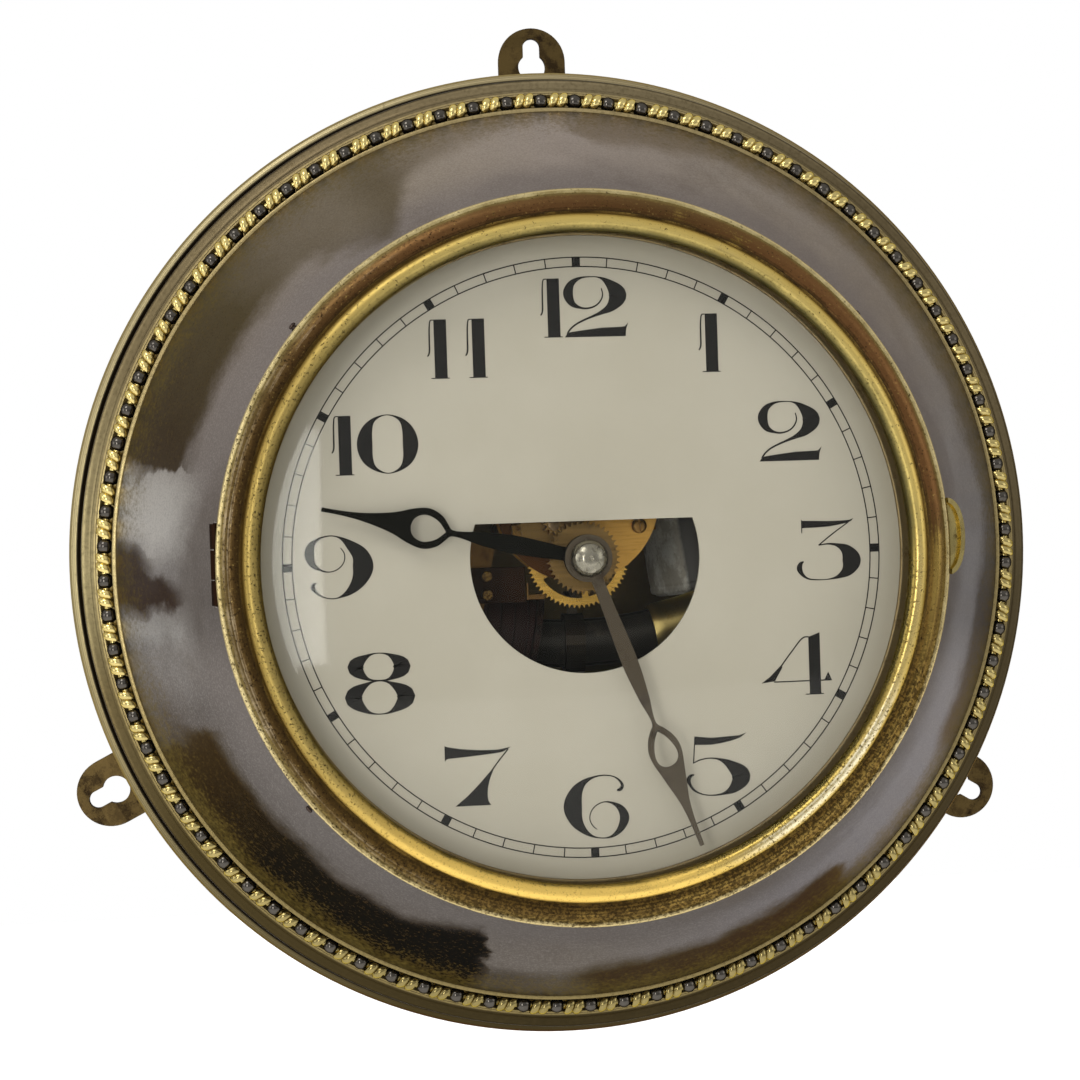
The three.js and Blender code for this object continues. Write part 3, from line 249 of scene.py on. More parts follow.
def slab(outline, front, thickness, holes=()):
    """A flat form cut to an outline of (x, z) points, with holes."""
    loops = [outline, *holes]
    flat = [point for loop in loops for point in loop]
    triangles = tessellate_polygon([[Vector((x, z, 0)) for x, z in loop] for loop in loops])
    count = len(flat)
    corners = [(x, front, z) for x, z in flat] + [(x, front + thickness, z) for x, z in flat]
    faces = [tuple(face) for face in triangles]
    faces += [tuple(count + i for i in face[::-1]) for face in triangles]
    start = 0
    for loop in loops:
        for i in range(len(loop)):
            a, b = start + i, start + (i + 1) % len(loop)
            faces.append((a, b, count + b, count + a))
        start += len(loop)
    return Form(corners, faces)


def ribbon(points, closed):
    """A pen stroke in ink through (x, z, half width) points."""
    path = smooth_path(points, 5, closed)
    count = len(path)
    corners = []
    for i, point in enumerate(path):
        ahead = path[(i + 1) % count] if closed or i + 1 < count else point
        behind = path[i - 1] if closed or i else point
        run = Vector((ahead.x - behind.x, ahead.y - behind.y)).normalized()
        half = max(point.z, 0.08)
        for side in (1, -1):
            x, z = point.x - side * run.y * half, point.y + side * run.x * half
            corners += [(x, INK_FRONT, z), (x, INK_FRONT + INK_DEPTH, z)]
    faces = []
    for i in range(count if closed else count - 1):
        a, b = 4 * i, 4 * ((i + 1) % count)
        faces += [(a, b, b + 2, a + 2), (a + 1, a + 3, b + 3, b + 1)]
        faces += [(a, a + 1, b + 1, b), (a + 2, b + 2, b + 3, a + 3)]
    if not closed:
        faces += [(0, 2, 3, 1), tuple(4 * (count - 1) + k for k in (0, 1, 3, 2))]
    return Form(corners, faces)


def tube(path, radii, sides):
    """A round bar along a path, with one radius or one for each point, closed at both ends."""
    path = [Vector(point) for point in path]
    if not isinstance(radii, list):
        radii = [radii] * len(path)
    corners = []
    across = None
    for i, point in enumerate(path):
        run = (path[min(i + 1, len(path) - 1)] - path[max(i - 1, 0)]).normalized()
        if across is None:
            across = run.orthogonal().normalized()
        across = (across - run * across.dot(run)).normalized()
        side = run.cross(across)
        for k in range(sides):
            turn = TAU * k / sides
            corners.append(point + (across * math.cos(turn) + side * math.sin(turn)) * radii[i])
    faces = []
    for i in range(len(path) - 1):
        for k in range(sides):
            a, b = i * sides + k, i * sides + (k + 1) % sides
            faces.append((a, b, b + sides, a + sides))
    faces.append(tuple(range(sides)))
    faces.append(tuple(range(len(corners) - sides, len(corners)))[::-1])
    return Form(corners, faces)


def block(x0, x1, y0, y1, z0, z1):
    return slab([(x0, z0), (x1, z0), (x1, z1), (x0, z1)], y0, y1 - y0)


def lathe(profile, ease, steps, place=CENTRE, corner_steps=2):
    """A form turned from a profile that starts and ends on the axis, with its corners eased."""
    return turned(eased(profile, ease, corner_steps, False), steps, place)


def circle(centre, radius, steps):
    return arc(centre, radius, 0, 360 - 360 / steps, steps - 1)


def pin(place, radius, y0, y1, ease, steps):
    """A round pin along Y with eased ends."""
    return lathe([(0, y0), (radius, y0), (radius, y1), (0, y1)], ease, steps, place)


def collar(place, inner, outer, y0, y1, ease, steps):
    return turned(eased([(inner, y0), (outer, y0), (outer, y1), (inner, y1)], ease, 2), steps, place)


def collars(inner, outer, *spans, ease=0.12, steps=28):
    """Collars on the centre line, one for each pair of a front and a back."""
    made = Form()
    for y0, y1 in spans:
        made += collar(CENTRE, inner, outer, y0, y1, ease, steps)
    return made


def turn_about(axis, angle):
    return Matrix.Rotation(math.radians(angle), 4, axis)


def at_angle(angle):
    """The turn that takes a form from twelve to a clock angle."""
    return turn_about("Y", angle)


# Pieces
def mesh_of(form):
    if isinstance(form, bpy.types.Mesh):
        return form
    mesh = bpy.data.meshes.new("form")
    mesh.from_pydata(form.corners, [], form.faces)
    return mesh


def put_right(mesh):
    """Merges doubled corners and turns every face outwards."""
    work = bmesh.new()
    work.from_mesh(mesh)
    bmesh.ops.remove_doubles(work, verts=work.verts, dist=1e-4)
    bmesh.ops.dissolve_degenerate(work, edges=work.edges, dist=1e-5)
    bmesh.ops.recalc_face_normals(work, faces=work.faces)
    work.to_mesh(mesh)
    work.free()
    return mesh


def in_scene(name, mesh):
    item = bpy.data.objects.new(name, mesh)
    bpy.context.scene.collection.objects.link(item)
    return item


def evaluated(item):
    graph = bpy.context.evaluated_depsgraph_get()
    return bpy.data.meshes.new_from_object(item.evaluated_get(graph))


def carved(base, tools, operation="DIFFERENCE"):
    """One mesh from a base and the forms that are joined to it or cut from it."""
    work = in_scene("work", put_right(mesh_of(base)))
    helpers = [in_scene("tool", put_right(mesh_of(tool))) for tool in tools]
    for helper in helpers:
        step = work.modifiers.new("step", "BOOLEAN")
        step.operation = operation
        step.solver = "MANIFOLD"
        step.object = helper
    mesh = evaluated(work)
    for item in (work, *helpers):
        bpy.data.objects.remove(item)
    return mesh


def slotted(head, shank, slot):
    """A screw from its head and shank, with the slot cut."""
    return carved(carved(head, [shank], "UNION"), [slot])


def round_edges(item, width):
    edges = item.modifiers.new("edges", "BEVEL")
    edges.width = width * MM
    edges.segments = 2
    edges.limit_method = "ANGLE"
    edges.angle_limit = math.radians(40)
    edges.harden_normals = True


def piece(name, form, body, finish, stands_for=(), sharp=38, edge=0.0):
    mesh = put_right(mesh_of(form))
    mesh.transform(Matrix.Scale(MM, 4))
    mesh.name = name
    item = in_scene(name, mesh)
    mesh.materials.clear()
    mesh.materials.append(finish)
    mesh.shade_smooth()
    mesh.set_sharp_from_angle(angle=math.radians(sharp))
    if edge:
        round_edges(item, edge)
    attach(item, body)
    if stands_for:
        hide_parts(*stands_for)
    return item


def keep(node, finish, edge):
    """A CAD node that stays, with rounded edges and a finish."""
    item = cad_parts[node]
    item.data.materials.clear()
    item.data.materials.append(finish)
    seam = item.modifiers.new("seam", "WELD")
    seam.merge_threshold = 1e-6
    round_edges(item, edge)


# Node trees
def both_ways(operation):
    """An operator on readings and its reflected form."""

    def plain(self, other):
        return self.bench.reckon(operation, self, other)

    def reflected(self, other):
        return self.bench.reckon(operation, other, self)

    return plain, reflected


class Reading:
    """A value in a node tree, with arithmetic."""

    __add__, __radd__ = both_ways("ADD")
    __sub__, __rsub__ = both_ways("SUBTRACT")
    __mul__, __rmul__ = both_ways("MULTIPLY")
    __truediv__, __rtruediv__ = both_ways("DIVIDE")

    def __init__(self, bench, socket):
        self.bench = bench
        self.socket = socket

    def out(self, name):
        return Reading(self.bench, self.socket.node.outputs[name])


class Bench:
    """A node tree that is filled through one method."""

    def __init__(self, tree):
        self.tree = tree
        self.tree.nodes.clear()

    def node(self, kind, settings=None, inputs=None, output=0):
        made = self.tree.nodes.new(kind)
        for key, value in (settings or {}).items():
            if key == "stops":
                lay_stops(made.color_ramp, value)
            else:
                setattr(made, key, value)
        for key, value in (inputs or {}).items():
            socket = made.inputs[key]
            if isinstance(value, Reading):
                self.tree.links.new(value.socket, socket)
            elif socket.type == "RGBA":
                socket.default_value = (*value[:3], 1.0)
            else:
                socket.default_value = value
        return Reading(self, made.outputs[output]) if made.outputs else made

    def reckon(self, operation, *values):
        return self.node("ShaderNodeMath", {"operation": operation}, dict(enumerate(values)))


def lay_stops(ramp, stops):
    """Fills a ramp with (place, grey or colour) stops."""
    while len(ramp.elements) < len(stops):
        ramp.elements.new(1.0)
    for element, (place, tone) in zip(ramp.elements, stops):
        element.position = place
        element.color = (*tone, 1.0) if isinstance(tone, tuple) else (tone, tone, tone, 1.0)


class Finish(Bench):
    """A material, with the places on the clock that its pattern is drawn from."""

    def __init__(self, name):
        self.material = bpy.data.materials.new(name)
        self.material.use_nodes = True
        super().__init__(self.material.node_tree)
        self.place = self.node("ShaderNodeTexCoord", output="Object")
        self.x = self.node("ShaderNodeSeparateXYZ", inputs={0: self.place})
        self.y = self.x.out("Y")
        self.z = self.x.out("Z")

    def radius(self):
        return self.reckon("SQRT", self.x * self.x + self.z * self.z) / MM

    def clock(self):
        """The clock angle, from 0 at twelve to 1."""
        return self.reckon("FRACT", self.reckon("ARCTAN2", self.x, self.z) / TAU)

    def cloud(self, size, detail, roughness=0.55, stretch=(1, 1, 1)):
        """Uneven patches about size millimetres across."""
        where = self.node("ShaderNodeVectorMath", {"operation": "MULTIPLY"}, {0: self.place, 1: stretch})
        inputs = {"Vector": where, "Scale": 1 / (size * MM), "Detail": detail, "Roughness": roughness}
        return self.node("ShaderNodeTexNoise", inputs=inputs)

    def rings(self, size, around, depth=0.0):
        """Fine turned lines round the axis, broken up along their length."""
        radius = self.radius()
        across = self.node(
            "ShaderNodeCombineXYZ",
            inputs={0: radius / size + self.y * (depth / MM), 1: self.x / radius * around / MM,
                    2: self.z / radius * around / MM},
        )
        return self.node("ShaderNodeTexNoise", inputs={"Vector": across, "Scale": 1.0, "Detail": 2.0})

    def step(self, value, low, high):
        """0 below low and 1 above high, with a soft change between."""
        inputs = {"Value": value, "From Min": low, "From Max": high}
        return self.node("ShaderNodeMapRange", {"interpolation_type": "SMOOTHSTEP"}, inputs)

    def between(self, value, low, full, fading, high):
        """1 from full to fading, and 0 below low and above high."""
        return self.step(value, low, full) * (1 - self.step(value, fading, high))

    def share_of(self, radius, band):
        """How far a radius lies across a band, from 0 at its inside to 1."""
        return (radius - band[0]) / (band[1] - band[0])

    def ramp(self, value, stops):
        return self.node("ShaderNodeValToRGB", {"stops": stops}, {0: value})

    def by_clock(self, turn, stops):
        """A ramp whose stops are placed by clock angle."""
        return self.ramp(turn, [(angle / 360, tone) for angle, tone in stops])

    def mix(self, share, first, second):
        return self.node("ShaderNodeMix", {"data_type": "RGBA"}, {0: share, 6: first, 7: second}, 2)

    def bump(self, height, depth, before=None):
        """A bump of the given depth in millimetres."""
        inputs = {"Height": height, "Distance": depth * MM, "Strength": 1.0}
        if before:
            inputs["Normal"] = before
        return self.node("ShaderNodeBump", inputs=inputs)

    def shader(self, **inputs):
        named = {key.replace("_", " ").title().replace("Ior", "IOR"): value for key, value in inputs.items()}
        return self.node("ShaderNodeBsdfPrincipled", inputs=named)

    def coated(self, **inputs):
        return self.finished(self.shader(**inputs))

    def finished(self, shader):
        self.node("ShaderNodeOutputMaterial", inputs={"Surface": shader})
        return self.material


def ring_tree():
    """Copies of a pattern round the clock's axis. The pattern is drawn about the origin, as at twelve."""
    tree = bpy.data.node_groups.new("copies_round_the_axis", "GeometryNodeTree")
    bench = Bench(tree)
    sockets = tree.interface
    sockets.new_socket(name="Pattern", in_out="INPUT", socket_type="NodeSocketGeometry")
    for name, kind in (
        ("Copies", "Int"),
        ("Ring Radius", "Float"),
        ("Depth", "Float"),
        ("First Angle", "Float"),
        ("Unevenness", "Float"),
        ("Spin", "Float"),
        ("Seed", "Int"),
        ("Finish", "Material"),
    ):
        sockets.new_socket(name=name, in_out="INPUT", socket_type=f"NodeSocket{kind}")
    sockets.new_socket(name="Copies Made", in_out="OUTPUT", socket_type="NodeSocketGeometry")
    pattern = bench.node("NodeGroupInput")
    copies = pattern.out("Copies")
    index = bench.node("GeometryNodeInputIndex")
    seed = pattern.out("Seed")

    def chance(shift):
        inputs = {2: -1.0, 3: 1.0, "Seed": seed + shift}
        return bench.node("FunctionNodeRandomValue", {"data_type": "FLOAT"}, inputs, 1)

    turn = pattern.out("First Angle") + index * TAU / copies + chance(0) * pattern.out("Unevenness") * 0.01
    radius = pattern.out("Ring Radius")
    x = bench.reckon("SINE", turn) * radius
    z = bench.reckon("COSINE", turn) * radius
    place = bench.node("ShaderNodeCombineXYZ", inputs={0: x, 1: pattern.out("Depth"), 2: z})
    points = bench.node("GeometryNodePoints", inputs={"Count": copies, "Position": place})
    facing = bench.node("ShaderNodeCombineXYZ", inputs={1: turn})
    size = 1 + chance(1) * pattern.out("Unevenness")
    across = bench.node("ShaderNodeCombineXYZ", inputs={0: size, 1: size, 2: size})
    inputs = {"Points": points, "Instance": pattern, "Rotation": facing, "Scale": across}
    placed = bench.node("GeometryNodeInstanceOnPoints", inputs=inputs)
    spin = bench.node("ShaderNodeCombineXYZ", inputs={2: chance(2) * pattern.out("Spin")})
    spun = bench.node("GeometryNodeRotateInstances", inputs={"Instances": placed, "Rotation": spin})
    real = bench.node("GeometryNodeRealizeInstances", inputs={0: spun})
    coated = bench.node("GeometryNodeSetMaterial", inputs={0: real, "Material": pattern.out("Finish")})
    bench.node("NodeGroupOutput", inputs={0: coated})
    return tree


RING_TREE = ring_tree()


def round_the_axis(form, finish, copies, radius, depth, first=0.0, uneven=0.0, spin=0.0, seed=1):
    """A plain mesh of copies of a form round the clock's axis, made by the ring tree."""
    work = in_scene("work", put_right(mesh_of(form)))
    ring = work.modifiers.new("ring", "NODES")
    ring.node_group = RING_TREE
    values = {
        "Copies": copies,
        "Ring Radius": float(radius),
        "Depth": float(depth),
        "First Angle": math.radians(first),
        "Unevenness": float(uneven),
        "Spin": float(spin),
        "Seed": seed,
        "Finish": finish,
    }
    for socket in RING_TREE.interface.items_tree:
        if socket.in_out == "INPUT" and socket.name in values:
            ring[socket.identifier] = values[socket.name]
    mesh = evaluated(work)
    work.modifiers.remove(ring)
    bpy.data.objects.remove(work)
    return mesh


# Finishes
# How far the tarnished patches and painted dark reflections reach in from the beads, as a share of the
# flange, by clock angle.
TARNISH_AND_REFLECTION_REACH = [
    (0, 0.1), (4, 0.36), (16, 0.34), (21, 0.26), (76, 0.29), (84, 0.2), (98, 0.31), (117, 0.3),
    (122, 0.18), (139, 0.2), (142, 0.4), (178, 0.4), (184, 0.28), (193, 0.3), (196, 0.76),
    (207, 0.6), (246, 0.6), (249, 0.3), (258, 0.25), (260, 0.02), (263, 0.02), (265, 0.62), (268, 0.6),
    (270, 0.33), (273, 0.3), (274, 0.0), (282, 0.0), (284, 0.62), (318, 0.6), (331, 0.95), (338, 0.4),
    (360, 0.1),
]
# Their strength and tones by clock angle; the near-black stretch at the bottom is painted shade.
TARNISH_AND_REFLECTION_DEPTH = [
    (0, 0.2), (5, 0.6), (20, 0.6), (42, 0.7), (76, 0.75), (88, 0.6), (98, 0.85), (117, 0.85),
    (121, 0.4), (139, 0.45), (142, 0.95), (178, 0.92), (184, 0.5), (193, 0.6), (195, 1.0), (204, 1.0),
    (208, 1.0), (246, 0.96), (248, 0.45), (259, 0.15), (264, 0.1), (265, 0.95), (272, 0.9), (274, 0.0),
    (282, 0.0), (284, 0.95), (308, 0.92), (318, 0.6), (327, 0.5), (334, 0.75), (340, 0.5), (360, 0.2),
]
TARNISH_AND_REFLECTION_TONES = [
    (0, (0.17, 0.128, 0.076)), (60, (0.17, 0.135, 0.078)), (100, (0.085, 0.075, 0.068)),
    (130, (0.18, 0.122, 0.055)), (145, (0.055, 0.036, 0.014)), (180, (0.05, 0.037, 0.016)),
    (195, (0.01, 0.009, 0.006)), (225, (0.015, 0.012, 0.005)), (244, (0.045, 0.032, 0.013)),
    (255, (0.075, 0.055, 0.035)), (268, (0.055, 0.038, 0.031)), (290, (0.066, 0.05, 0.03)),
    (312, (0.1, 0.08, 0.042)), (332, (0.11, 0.088, 0.047)), (360, (0.17, 0.128, 0.076)),
]
# Plating tones by clock angle, with painted light: a painted highlight near nine, painted shade darkening the
# bottom.
PLATE_TONES_WITH_PAINTED_LIGHT = [
    (0, (0.43, 0.368, 0.318)), (25, (0.39, 0.337, 0.282)), (55, (0.34, 0.292, 0.242)),
    (90, (0.385, 0.37, 0.366)), (120, (0.3, 0.288, 0.294)), (150, (0.2, 0.192, 0.196)),
    (180, (0.155, 0.142, 0.124)), (210, (0.115, 0.105, 0.094)), (235, (0.1, 0.092, 0.083)),
    (250, (0.12, 0.11, 0.1)), (259, (0.3, 0.282, 0.262)), (262, (0.48, 0.46, 0.43)),
    (266, (0.3, 0.275, 0.255)), (270, (0.36, 0.335, 0.315)), (276, (0.66, 0.63, 0.58)),
    (281, (0.58, 0.55, 0.5)), (286, (0.27, 0.235, 0.21)), (305, (0.28, 0.235, 0.195)),
    (330, (0.36, 0.305, 0.235)), (348, (0.42, 0.358, 0.295)), (360, (0.43, 0.368, 0.318)),
]
# Brass outside the beads: partly its own patina, partly painted light, paler at the left and top as painted
# highlight and darkened towards the bottom as painted shade.
BRASS_TONES_WITH_PAINTED_LIGHT = [
    (0, (0.34, 0.27, 0.15)), (45, (0.17, 0.13, 0.068)), (90, (0.11, 0.085, 0.045)),
    (135, (0.05, 0.036, 0.016)), (185, (0.036, 0.026, 0.01)), (235, (0.07, 0.05, 0.017)),
    (255, (0.2, 0.15, 0.065)), (270, (0.46, 0.38, 0.19)), (295, (0.24, 0.185, 0.095)),
    (325, (0.16, 0.122, 0.066)), (345, (0.24, 0.185, 0.1)), (360, (0.34, 0.27, 0.15)),
]
# Painted shade on the gilt by clock angle: 1 keeps the tone, lower values darken it, most towards the bottom
# and lower right.
GILT_PAINTED_SHADE = [
    (0, 0.85), (60, 0.7), (100, 0.55), (150, 0.36), (200, 0.3), (235, 0.5), (268, 1.0), (300, 0.92),
    (360, 0.85),
]


def shell_finish():
    """Grey plating over brass: brushed round, tarnished in from the beads and worn to brass near them, with
    painted light and shade by clock angle and painted dark reflections among the tarnished patches.
    """
    f = Finish("grey_plate_over_brass")
    wide = f.cloud(34, 3.0)
    soft = f.cloud(12, 5.0, 0.6)
    fine = f.cloud(1.1, 6.0, 0.7)
    grain = f.cloud(0.45, 3.0, 0.6)
    brush = f.rings(0.2, 0.012)
    radius = f.radius()
    clock = f.clock() + (soft - 0.5) * 0.018
    share = f.share_of(radius, FLANGE_BAND) + (soft - 0.5) * 0.26 + (fine - 0.5) * 0.06
    # Tarnished patches mixed with painted dark reflections of the room, reaching in from the beads.
    edge = 1 - f.by_clock(clock, TARNISH_AND_REFLECTION_REACH)
    tarnish_and_dark_reflection = f.step(share, edge - 0.11, edge + 0.1) * f.by_clock(clock, TARNISH_AND_REFLECTION_DEPTH)
    # Painted light on the inner flange: lighter towards the top, darker towards the bottom.
    top_lit_plating = f.mix(f.step(f.z / MM, -80, 60), (0.138, 0.13, 0.122), (0.3, 0.262, 0.236))
    plating = f.mix(f.step(share, 0.1, 0.5), top_lit_plating, f.by_clock(clock, PLATE_TONES_WITH_PAINTED_LIGHT))
    plating = f.mix(f.step(brush, 0.45, 0.7) * 0.42, plating, f.mix(0.5, plating, (0.42, 0.38, 0.34)))
    plating = f.mix(f.step(1 - grain, 0.5, 0.64) * 0.2, plating, (0.5, 0.47, 0.44))
    plating = f.mix(f.step(wide + (fine - 0.5) * 0.5, 0.5, 0.75) * 0.3, plating, (0.13, 0.105, 0.08))
    plating = f.mix(f.step(grain, 0.42, 0.62) * 0.22, plating, (0.11, 0.1, 0.105))
    dark = f.by_clock(clock, TARNISH_AND_REFLECTION_TONES)
    dark = f.mix(f.step(fine, 0.5, 0.72) * 0.5, dark, (0.12, 0.085, 0.035))
    dark = f.mix(f.step(grain, 0.55, 0.7) * 0.45, dark, (0.01, 0.008, 0.006))
    tone = f.mix(tarnish_and_dark_reflection, plating, dark)
    worn = f.step(share + (fine - 0.5) * 0.9, 0.72, 1.12)
    tone = f.mix(worn * 0.7, tone, (0.15, 0.112, 0.036))
    brass = f.by_clock(clock, BRASS_TONES_WITH_PAINTED_LIGHT)
    # Across the band outside the flange: lighter lines on the channel's edges and the rim's crest are painted
    # highlights; darker lines in the grooves and where the rim turns under are painted shade.
    lines = f.ramp(
        f.share_of(radius, OUTER_BAND),
        [
            (0.0, 0.2), (0.04, 1.0), (0.1, 0.95), (0.14, 0.75), (0.5, 0.75), (0.54, 0.95), (0.62, 0.95),
            (0.66, 0.45), (0.72, 0.62), (0.86, 0.55), (0.91, 0.75), (0.95, 0.15), (1.0, 0.05),
        ],
    )
    outer = f.mix(lines, (0.035, 0.024, 0.009), f.mix(0.45, brass, (0.4, 0.31, 0.13)))
    outer = f.mix(f.step(radius, 119.5, 120.0), outer, f.mix(lines, (0.02, 0.015, 0.007), brass))
    outer = f.mix(f.step(fine, 0.42, 0.75) * 0.5, outer, (0.05, 0.036, 0.015))
    tone = f.mix(f.step(radius, 112.9, 113.3), tone, outer)
    shaded = 0.9 - f.step(f.y / MM, -43.5, -38.0) * 0.4
    tone = f.mix(f.step(f.y / MM, -45.8, -44.8), tone, f.mix(shaded, brass, (0.02, 0.015, 0.008)))
    roughness = 0.24 + soft * 0.2 + tarnish_and_dark_reflection * 0.08
    normal = f.bump(brush, 0.014, f.bump(fine, 0.014))
    return f.coated(
        base_color=tone, metallic=0.96, roughness=roughness, normal=normal, specular_tint=(0.34, 0.32, 0.31)
    )


def bezel_finish():
    """Gilt with streaks of dirt in the roll and a cove worn to red brown at the top and right, plus painted
    light: shade on the inner lip, the groove and the left, highlights on the outer fillet and low on the
    right, and a floor reflection on the lower roll.
    """
    f = Finish("worn_gilt_bezel")
    soft = f.cloud(8, 5.0, 0.6)
    fine = f.cloud(0.6, 6.0, 0.72)
    streaks = f.rings(0.4, 0.04)
    radius = f.radius()
    clock = f.clock()
    across = f.share_of(radius, BEZEL_BAND) + (streaks - 0.5) * 0.16
    across = across + (soft - 0.5) * 0.12 + (fine - 0.5) * 0.08
    # Tones across the profile: the gilt's and the brown's own colours, with painted shade on the inner lip
    # and in the groove between roll and cove, and a painted highlight on the outer fillet.
    gilt = f.ramp(across, [
        (0.0, (0.09, 0.075, 0.028)), (0.09, (0.28, 0.2, 0.05)), (0.2, (0.58, 0.44, 0.16)),
        (0.32, (0.46, 0.33, 0.09)), (0.41, (0.38, 0.25, 0.055)), (0.46, (0.06, 0.035, 0.012)),
        (0.53, (0.22, 0.13, 0.03)), (0.63, (0.34, 0.23, 0.06)), (0.75, (0.16, 0.1, 0.03)),
        (0.86, (0.3, 0.21, 0.065)), (0.93, (0.7, 0.58, 0.3)),
    ])
    brown = f.ramp(across, [
        (0.0, (0.06, 0.052, 0.022)), (0.09, (0.15, 0.12, 0.04)), (0.19, (0.54, 0.41, 0.13)),
        (0.32, (0.46, 0.33, 0.09)), (0.41, (0.3, 0.19, 0.045)), (0.46, (0.035, 0.02, 0.008)),
        (0.58, (0.035, 0.021, 0.007)), (0.68, (0.055, 0.036, 0.013)), (0.78, (0.09, 0.064, 0.024)),
        (0.87, (0.22, 0.165, 0.06)), (0.94, (0.6, 0.5, 0.26)),
    ])
    browned = f.by_clock(clock, [
        (0, 0.85), (20, 0.7), (45, 0.9), (85, 0.75), (96, 0.25), (120, 0.2), (150, 0.5), (175, 0.65),
        (205, 0.9), (245, 0.9), (330, 0.95), (360, 0.85),
    ])
    mask = f.step(browned + (soft - 0.5) * 0.9 + (streaks - 0.5) * 0.5 + (fine - 0.5) * 0.6, 0.45, 0.75)
    tone = f.mix(mask, gilt, brown)
    reddened = f.by_clock(clock, [
        (0, 0.6), (15, 0.4), (38, 0.9), (82, 0.9), (92, 0.0), (300, 0.1), (335, 0.7), (360, 0.6),
    ])
    cove = f.between(across, 0.48, 0.56, 0.78, 0.88)
    tone = f.mix(reddened * mask * cove * 0.8, tone, (0.165, 0.075, 0.028))
    # Painted highlight: a broken pale streak along the crest of the roll, low on the right.
    bright = f.by_clock(clock, [(0, 0.0), (112, 0.0), (124, 0.7), (146, 0.6), (158, 0.0), (360, 0.0)])
    crest = f.between(across, 0.1, 0.17, 0.27, 0.36)
    tone = f.mix(bright * crest * f.step(streaks + fine * 0.6, 0.68, 0.86), tone, (0.95, 0.88, 0.66))
    lower = f.by_clock(clock, [(0, 0.0), (98, 0.1), (114, 0.9), (205, 0.85), (235, 0.2), (360, 0.0)])
    outer_half = f.between(across, 0.36, 0.46, 0.89, 0.95)
    # Painted reflection of the floor: the lower roll is toned bright gold, and fewer pits are drawn there.
    under = f.by_clock(clock, [(0, 0.0), (150, 0.0), (166, 0.85), (215, 0.85), (236, 0.0), (360, 0.0)])
    roll = f.between(across, -0.04, 0.1, 0.36, 0.44)
    tone = f.mix(under * roll, tone, (0.74, 0.5, 0.12))
    speckles = f.step(f.cloud(0.9, 5.0, 0.7) + streaks * 0.35, 0.6, 0.72)
    tone = f.mix(lower * outer_half * 0.45, tone, (0.17, 0.1, 0.022))
    tone = f.mix(lower * outer_half * speckles * 0.9, tone, (0.024, 0.015, 0.006))
    # Painted shade: the roll is darkened on the left; on the same side the outer cove gets painted sheen in
    # streaks.
    left = f.by_clock(clock, [(0, 0.0), (205, 0.0), (236, 0.9), (305, 0.9), (338, 0.3), (360, 0.0)])
    tone = f.mix(left * (1 - f.step(across, 0.42, 0.5)) * 0.55, tone, (0.14, 0.09, 0.022))
    stroke = f.rings(0.9, 0.5)
    sheen = f.between(across, 0.66, 0.76, 0.84, 0.92) * f.step(stroke + soft * 0.4, 0.68, 0.84)
    tone = f.mix(left * sheen * 0.6, tone, (0.5, 0.4, 0.26))
    flecks = f.step(fine, 0.6, 0.68) * f.step(across, 0.45, 0.55) * (1 - lower)
    tone = f.mix(flecks * 0.55, tone, (0.4, 0.28, 0.08))
    rough_part = f.by_clock(clock, [
        (0, 0.3), (85, 0.5), (120, 1.0), (200, 0.9), (250, 1.0), (310, 0.8), (360, 0.3),
    ])
    pits = f.step(1 - fine + rough_part * 0.07, 0.62, 0.68) * (1 - under * roll * 0.7)
    tone = f.mix(pits * 0.9, tone, (0.022, 0.013, 0.006))
    roughness = 0.2 + mask * 0.12 + soft * 0.14 + pits * 0.25
    normal = f.bump(1 - pits, 0.03, f.bump(streaks, 0.03))
    return f.coated(
        base_color=tone, metallic=0.96, roughness=roughness, normal=normal, specular_tint=(0.6, 0.5, 0.34)
    )


def metal(name, tone, stain, roughness, stained, size, metallic=0.95, pits=0.0, painted_shade=None):
    """A worn metal: two tones in patches, uneven gloss, bright rubbed edges and a fine relief."""
    f = Finish(name)
    soft = f.cloud(size, 5.0, 0.6)
    fine = f.cloud(size / 8, 5.0, 0.65)
    patches = f.step(soft + (fine - 0.5) * 0.35, 0.72 - stained * 0.4, 0.95 - stained * 0.4)
    colour = f.mix(patches, tone, stain)
    if pits:
        spots = f.step(fine, 0.62, 0.7) * pits
        colour = f.mix(spots, colour, tuple(0.25 * level for level in stain))
    rubbed = f.step(f.node("ShaderNodeNewGeometry", output="Pointiness"), 0.51, 0.56)
    colour = f.mix(rubbed * 0.45, colour, tuple(min(1.0, 1.7 * level) for level in tone))
    # Painted shade: where a table by clock angle is given, the tone is darkened by it.
    if painted_shade:
        colour = f.mix(1 - f.by_clock(f.clock(), painted_shade), colour, tuple(0.2 * level for level in stain))
    gloss = roughness + (soft - 0.5) * 0.22 + patches * 0.1
    edge_tint = tuple(min(1.0, 2 * level) for level in tone)
    return f.coated(
        base_color=colour, metallic=metallic, roughness=gloss, normal=f.bump(fine, 0.008),
        specular_tint=edge_tint,
    )


def dull(name, tone, stain, roughness, size, relief=0.02):
    """A matt surface with mottled tone and a fine relief."""
    f = Finish(name)
    soft = f.cloud(size, 5.0, 0.6)
    fine = f.cloud(size / 6, 4.0, 0.6)
    colour = f.mix(f.step(soft, 0.35, 0.7), tone, stain)
    colour = f.mix(f.step(fine, 0.55, 0.8) * 0.4, colour, tuple(0.6 * level for level in stain))
    gloss = roughness + (fine - 0.5) * 0.2
    normal = f.bump(fine, relief)
    return f.coated(base_color=colour, roughness=gloss, normal=normal, specular_ior_level=0.2)


